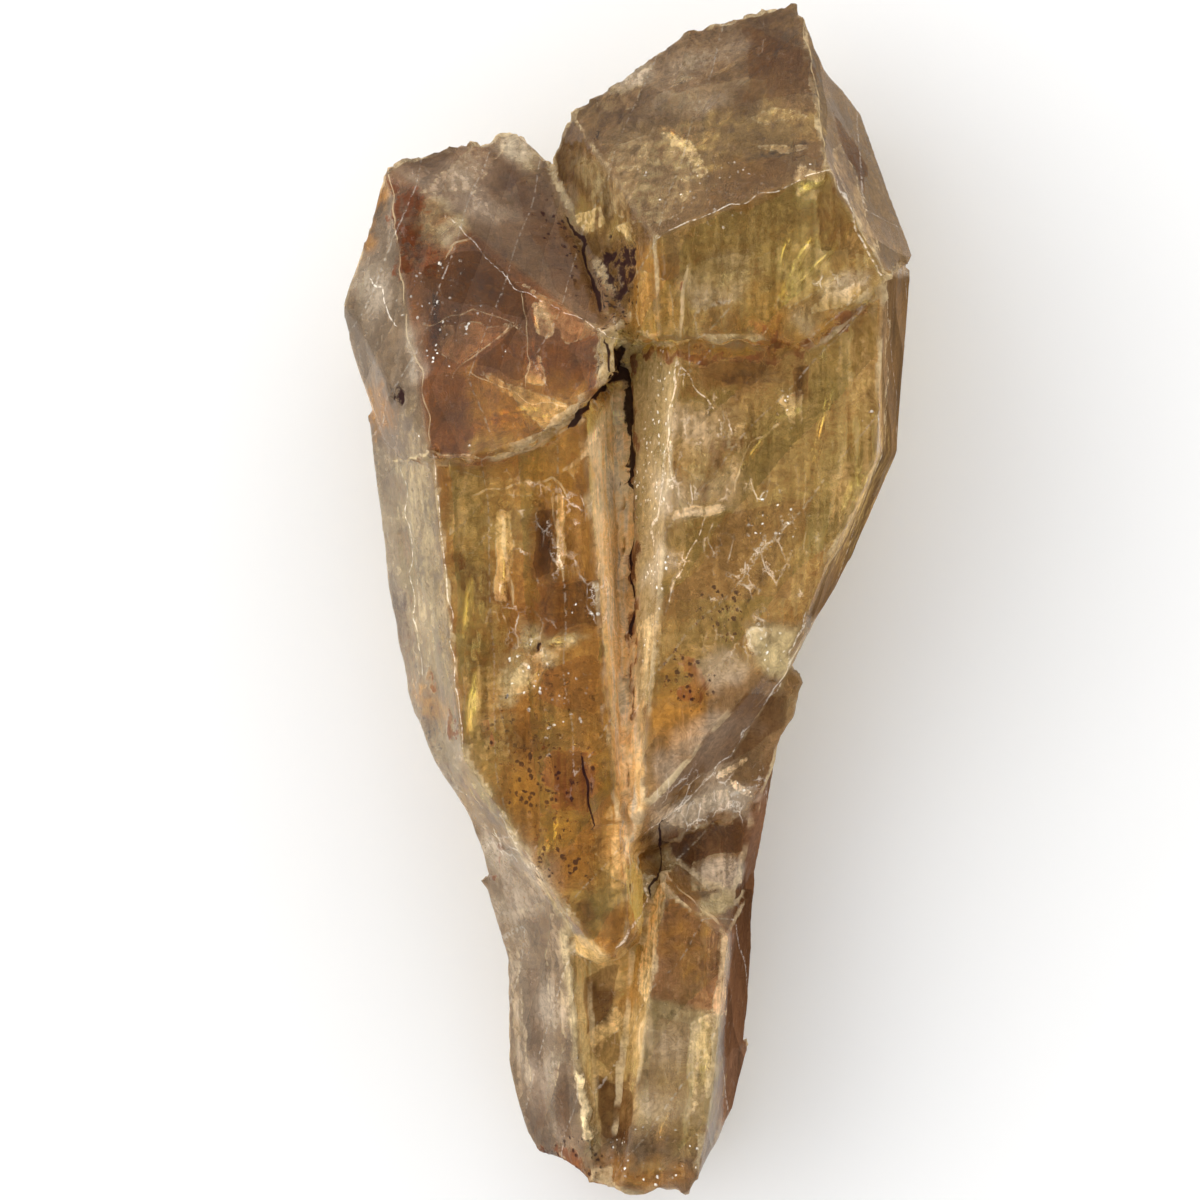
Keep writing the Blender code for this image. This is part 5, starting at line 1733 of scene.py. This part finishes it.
@dataclass
class InnerCracks:
    """Curved cracks and wisps that show in the clear stone."""

    golden: tuple[Plate, ...] = (
        Plate((13.2, 28.6), (3, 0.5), 1, 72, 34, rings=2),
        Plate((14.6, 28.4), (3.2, 0.6), 1.2, 58, 30, rings=2),
        Plate((15.8, 27.6), (3, 0.5), 1, 44, 34, rings=2),
        Plate((16.8, 26.2), (2.6, 0.45), 1.3, 30, 30, rings=2),
        Plate((13.8, 26.4), (2.4, 1.3), 1.8, 50, -12, rings=5),
        Plate((4.6, 38.2), (2.9, 0.8), 0.9, 136, 26),
        Plate((6.3, 36), (1.6, 0.5), 0.9, 104, 26),
        Plate((1.8, 35.7), (0.8, 0.6), 0.8, 70, 26),
        Plate((12.6, 40), (2.1, 0.5), 0.8, 8, 25),
        Plate((12.2, 37.6), (1.8, 0.45), 0.8, 6, 25),
        Plate((15.3, 34.4), (1.6, 0.7), 0.8, 28, 15),
        Plate((7.4, 38.8), (2.6, 0.6), 1.2, 60, 30),
        Plate((9.4, 44.6), (3, 0.5), 1.2, 40, 30),
        Plate((-3.4, 32.3), (1.7, 1), 0.9, 55, -15),
        Plate((-0.8, 30.8), (1.6, 1.1), 0.9, 40, -15),
        Plate((-2.4, 35), (2.6, 0.5), 0.9, 60, 30),
        Plate((-10.1, 3.2), (3.6, 0.7), 0.8, 86, 30),
        Plate((-9.3, -6.2), (2.9, 1.2), 0.9, 76, -16, rings=4),
        Plate((-8.3, -7.4), (1.8, 0.6), 0.6, 40, 25),
        Plate((-5.5, -3.6), (1.7, 0.7), 0.8, 8, 18),
        Plate((-8.2, -3.3), (1.3, 0.7), 0.8, 60, -15),
        Plate((-14.2, 29.3), (1.3, 0.4), 0.8, 25, 20),
        Plate((-7.4, 22.9), (1.7, 0.45), 0.7, 112, 25),
        Plate((-7.7, 20.9), (1.3, 0.35), 0.7, 100, 25),
        Plate((-12, 20.8), (3, 0.3), 0.7, 40, 40),
        Plate((-9, 14.6), (3.8, 1.5), 1.4, 4, 22, rings=3),
        Plate((-5.4, 16.3), (1.9, 0.7), 0.9, 38, 20),
        Plate((-10.6, 12.8), (2.2, 0.5), 0.7, 2, 24),
        Plate((13.6, 15.8), (1.8, 0.7), 0.9, 20, -18),
        Plate((10.6, 12.2), (2.8, 0.4), 0.8, 56, 30),
        Plate((20.3, 15.2), (1, 0.5), 0.8, 10, 15),
        Plate((16.6, 14.4), (4.2, 0.8), 1.4, 76, 35),
        Plate((18.6, 8.6), (3.4, 0.7), 1.2, 64, 35),
        Plate((-1.5, -38.2), (2, 0.8), 1.2, 70, 15),
        Plate((6.4, -38.6), (2.2, 0.6), 0.8, 86, 20),
        Plate((3.2, -44.2), (2.4, 0.6), 1, 70, 30),
        Plate((-12.8, -9), (3, 0.8), 1.2, 80, 20),
        Plate((-13.2, -1), (3.6, 0.6), 1, 84, 34),
        Plate((-6, -20.5), (3.4, 1.2), 1.4, 60, 24, rings=3),
    )
    milky: tuple[Plate, ...] = (
        Plate((6, 11.4), (4.8, 1.2), 1, 82, 30, rings=3),
        Plate((7.4, 9.6), (3.2, 0.9), 1.4, 48, -35, rings=3),
        Plate((4.6, 8.4), (3, 0.7), 0.9, 110, 30, rings=2),
        Plate((6.2, 7.1), (2.9, 0.7), 0.8, 4, 25),
        Plate((11.8, 7), (3.6, 1.1), 1.6, 60, 30, rings=3),
        Plate((5.6, 43.4), (4.2, 1.2), 1.2, 40, 24),
        Plate((7.6, 33.8), (3.4, 1.2), 1.4, 15, -24),
        Plate((8, 26.6), (3.4, 1), 1.2, 8, 28),
        Plate((-12.4, 20.6), (3.2, 0.7), 0.9, 40, 40),
        Plate((-15.4, 31), (1.9, 1.2), 0.8, 30, 10),
        Plate((-12.6, -2.4), (7.5, 0.9), 1.8, 86, 34),
        Plate((-6.4, -9.8), (3.6, 1.2), 1.4, 70, -30, rings=4),
        Plate((-4.2, 10.6), (2.2, 0.8), 0.9, 40, 25),
        Plate((-9.4, 7.8), (3.4, 1), 1.4, 12, 30),
        Plate((9.6, 0.4), (3.6, 1), 1.2, 52, 25),
        Plate((19.2, 31), (4.4, 0.5), 0.8, -66, 30),
        Plate((4, -39.6), (4.4, 1), 1, 84, 20, rings=4),
        Plate((6.4, -16.8), (3.4, 0.8), 0.8, 14, 20),
        Plate((16.4, 20.4), (2.8, 0.9), 1.4, 20, 30),
    )
    smoky: tuple[Plate, ...] = (
        Plate((-13.2, 26.2), (4.8, 1.6), 1.8, -24, 24, ragged=0.5, rings=3),
        Plate((-16, 22), (4.2, 0.9), 1.6, 96, -28, ragged=0.5),
        Plate((-8, 19.4), (3.6, 0.8), 1.6, -38, 30, ragged=0.5),
        Plate((12.2, 45.2), (4.2, 1.1), 1.4, 62, 20, ragged=0.5),
        Plate((12.8, 37), (3.6, 0.9), 1.4, 24, 22, ragged=0.5),
        Plate((6.8, 40.6), (3, 0.6), 1.4, 70, 30, ragged=0.5),
        Plate((-6.9, 4.2), (4.2, 0.8), 0.9, 86, 10, ragged=0.3),
        Plate((-5.6, -0.6), (3, 1), 1.2, 60, 25, ragged=0.5),
        Plate((10.2, 18.4), (3.6, 0.7), 1, 4, 25, ragged=0.5),
        Plate((14.3, 17.4), (2.2, 0.5), 1, 80, 25, ragged=0.5),
        Plate((11.6, 2.6), (4.6, 0.8), 1.4, 64, 30, ragged=0.5),
        Plate((4.8, -21.6), (2.4, 0.9), 1, 60, 20, ragged=0.5),
        Plate((10, -28), (6.5, 0.6), 1, 88, 10),
        Plate((-1.6, -34), (1.8, 0.8), 1.2, 80, 20, ragged=0.4),
        Plate((18.2, 34.8), (2.4, 0.7), 1.2, 70, 20, ragged=0.4),
    )

    def build(self, room: Room) -> None:
        """Makes the golden cracks, the milky veils and the smoky wisps."""
        join("golden_cracks", self.golden, room, GOLDEN, Draw.GOLDEN_CRACKS)
        join("milky_veils", self.milky, room, MILKY, Draw.MILKY_VEILS)
        join("smoky_wisps", self.smoky, room, SMOKY, Draw.SMOKY_WISPS)


@dataclass(frozen=True)
class Swarm:
    """A swarm of small flakes, which fills the ovals of one kind of mark."""

    kind: Kind
    closeness: float  # flakes to a square millimetre
    size: Plan  # smallest and largest half width
    depth: Plan  # least and greatest depth under the skin
    tilt: float  # largest tilt in degrees
    seed: Draw
    thickness: float = 0.05
    ragged: float = 0.3
    sides: int = 7

    def flakes(self) -> list[Plate]:
        """Scatters the flakes.

        Returns:
            The flakes, at the square root of a random share of the oval, so that they lie evenly.
        """
        chance = np.random.default_rng(self.seed)
        flakes = []
        for mark in FRONT_MARKS:
            if mark.kind is not self.kind or not isinstance(mark, Patch):
                continue
            count = int(math.pi * mark.half[0] * mark.half[1] * self.closeness * mark.strength ** 2)
            for _ in range(count):
                angle, reach = chance.uniform(0, 2 * math.pi), math.sqrt(chance.uniform())
                right = reach * math.cos(angle) * mark.half[0]
                up = reach * math.sin(angle) * mark.half[1]
                turn = math.radians(mark.turn)
                at = (mark.at[0] + right * math.cos(turn) - up * math.sin(turn),
                      mark.at[1] + right * math.sin(turn) + up * math.cos(turn))
                wide = self.size[0] + (self.size[1] - self.size[0]) * chance.uniform() ** 2.5
                flakes.append(Plate(
                    at, (wide, wide * chance.uniform(0.4, 0.9)), chance.uniform(*self.depth),
                    chance.uniform(0, 180), chance.uniform(-self.tilt, self.tilt),
                    chance.uniform(-self.tilt, self.tilt), ragged=self.ragged,
                    thickness=self.thickness, around=self.sides, across=1))
        return flakes


@dataclass
class Flakes:
    """The flakes under the skin, wherever the marks say that it sparkles or is specked."""

    bright: Swarm = Swarm(Kind.SPARKLE, 1.15, (0.09, 0.40), (0.35, 1.6), 55.0, Draw.GLINT_PLACES)
    rusty: Swarm = Swarm(Kind.SPECKS, 1.5, (0.08, 0.26), (0.31, 0.7), 35.0, Draw.SPECK_PLACES)

    def build(self, room: Room) -> None:
        """Makes the bright flakes and the rusty ones."""
        join("bright_flakes", self.bright.flakes(), room, BRIGHT, Draw.BRIGHT_FLAKES)
        join("rusty_flakes", self.rusty.flakes(), room, RUSTY, Draw.RUSTY_FLAKES)


# ---------------------------------------------------------------------------- studio
@dataclass(frozen=True)
class FloorFinish:
    """Matt white paper with a faint cloudiness."""

    light: Colour = (0.93, 0.93, 0.93)
    shade: Colour = (0.90, 0.90, 0.895)

    def material(self) -> bpy.types.Material:
        """Builds the finish.

        Returns:
            The material.
        """
        graph = Graph(bpy.data.materials.new("studio_paper"))
        cloud = graph.noise(graph.place(), 0.02, 3.0)
        surface = graph.wire("ShaderNodeBsdfPrincipled", None, {
            "Base Color": graph.mix(cloud, self.light, self.shade), "Roughness": 0.9,
            "Specular IOR Level": 0.1})
        return graph.finish(surface)


@dataclass(frozen=True)
class Softbox:
    """A soft patch of the studio's white dome: the cosine from its middle, to a power, times glow."""

    towards: Place
    glow: float
    power: float


@dataclass
class Studio:
    """A pale floor, a white dome with soft brighter patches, and a camera straight above."""

    floor_drop: float = 0.4  # mm from the stone's flat back down to the floor
    floor_reach: float = 3000.0
    dome: float = 1.04
    softboxes: tuple[Softbox, ...] = (
        Softbox((-0.78, 0.30, 0.50), 2.1, 5.0),
        Softbox((0.35, 0.80, 0.45), 1.2, 6.0),
        Softbox((0.85, -0.25, 0.40), -0.35, 3.0),
        Softbox((0.0, 0.0, 1.0), -0.85, 6.0),
    )

    def build(self) -> None:
        """Makes the floor, the light and the camera, and sets how light is traced."""
        self.floor()
        self.light()
        self.camera()
        scene = bpy.context.scene
        scene.view_settings.view_transform = "Standard"
        scene.view_settings.look = "None"
        cycles = scene.cycles
        cycles.use_denoising = True
        cycles.max_bounces = 8
        cycles.transmission_bounces = 8
        cycles.transparent_max_bounces = 8
        cycles.diffuse_bounces = 2
        cycles.glossy_bounces = 4
        cycles.sample_clamp_indirect = 4.0

    def light(self) -> None:
        """Lights the studio from a dome whose brightness depends on the direction alone."""
        graph = Graph(bpy.data.worlds.new("studio"))
        way = graph.wire("ShaderNodeTexCoord", output="Generated")
        glow = graph.wire("ShaderNodeValue")
        glow.socket.default_value = self.dome
        for box in self.softboxes:
            middle = Vector(box.towards).normalized()
            cosine = graph.wire("ShaderNodeVectorMath", {"operation": "DOT_PRODUCT"},
                                {0: way, 1: tuple(middle)}, "Value")
            glow = glow + cosine.at_least(0.0) ** box.power * box.glow
        background = graph.wire("ShaderNodeBackground", None, {"Strength": glow})
        background.socket.node.inputs["Color"].default_value = (1.0, 1.0, 1.0, 1.0)
        graph.node("ShaderNodeOutputWorld", None, {"Surface": background})
        graph.owner.cycles.sampling_method = "NONE"
        bpy.context.scene.world = graph.owner

    def floor(self) -> None:
        """A level square, whose corners are two parameters from -1 to 1 times its reach."""
        across, along = (side.ravel() for side in np.meshgrid([-1.0, 1.0], [-1.0, 1.0]))
        corners = np.column_stack((across * self.floor_reach, along * self.floor_reach,
                                   np.full(4, -self.floor_drop)))
        floor = make_mesh("studio_floor", corners, [(0, 1, 3, 2)])
        floor.data.materials.append(FloorFinish().material())

    def camera(self) -> None:
        """Looks straight down from the eye, with a lens that takes in the picture's width."""
        lens = bpy.data.cameras.new("camera")
        lens.sensor_width = SENSOR
        lens.lens = SENSOR * (EYE[2] - EYE_LEVEL) / PICTURE_WIDTH
        lens.clip_end = 10.0
        camera = bpy.data.objects.new("camera", lens)
        camera.location = Vector(EYE) * MM
        bpy.context.scene.collection.objects.link(camera)
        bpy.context.scene.camera = camera


def main() -> None:
    """Builds the studio and the stone."""
    logging.basicConfig(level=logging.INFO, format="%(name)s: %(message)s")
    Studio().build()
    skin = CrystalSkin().build(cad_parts[NODE])
    corners = np.empty(len(skin.data.vertices) * 3, np.float32)
    skin.data.vertices.foreach_get("co", corners)
    room = Room(corners.reshape(-1, 3).astype(float) / MM)
    InnerCracks().build(room)
    Flakes().build(room)


if __name__ == "__main__":
    main()
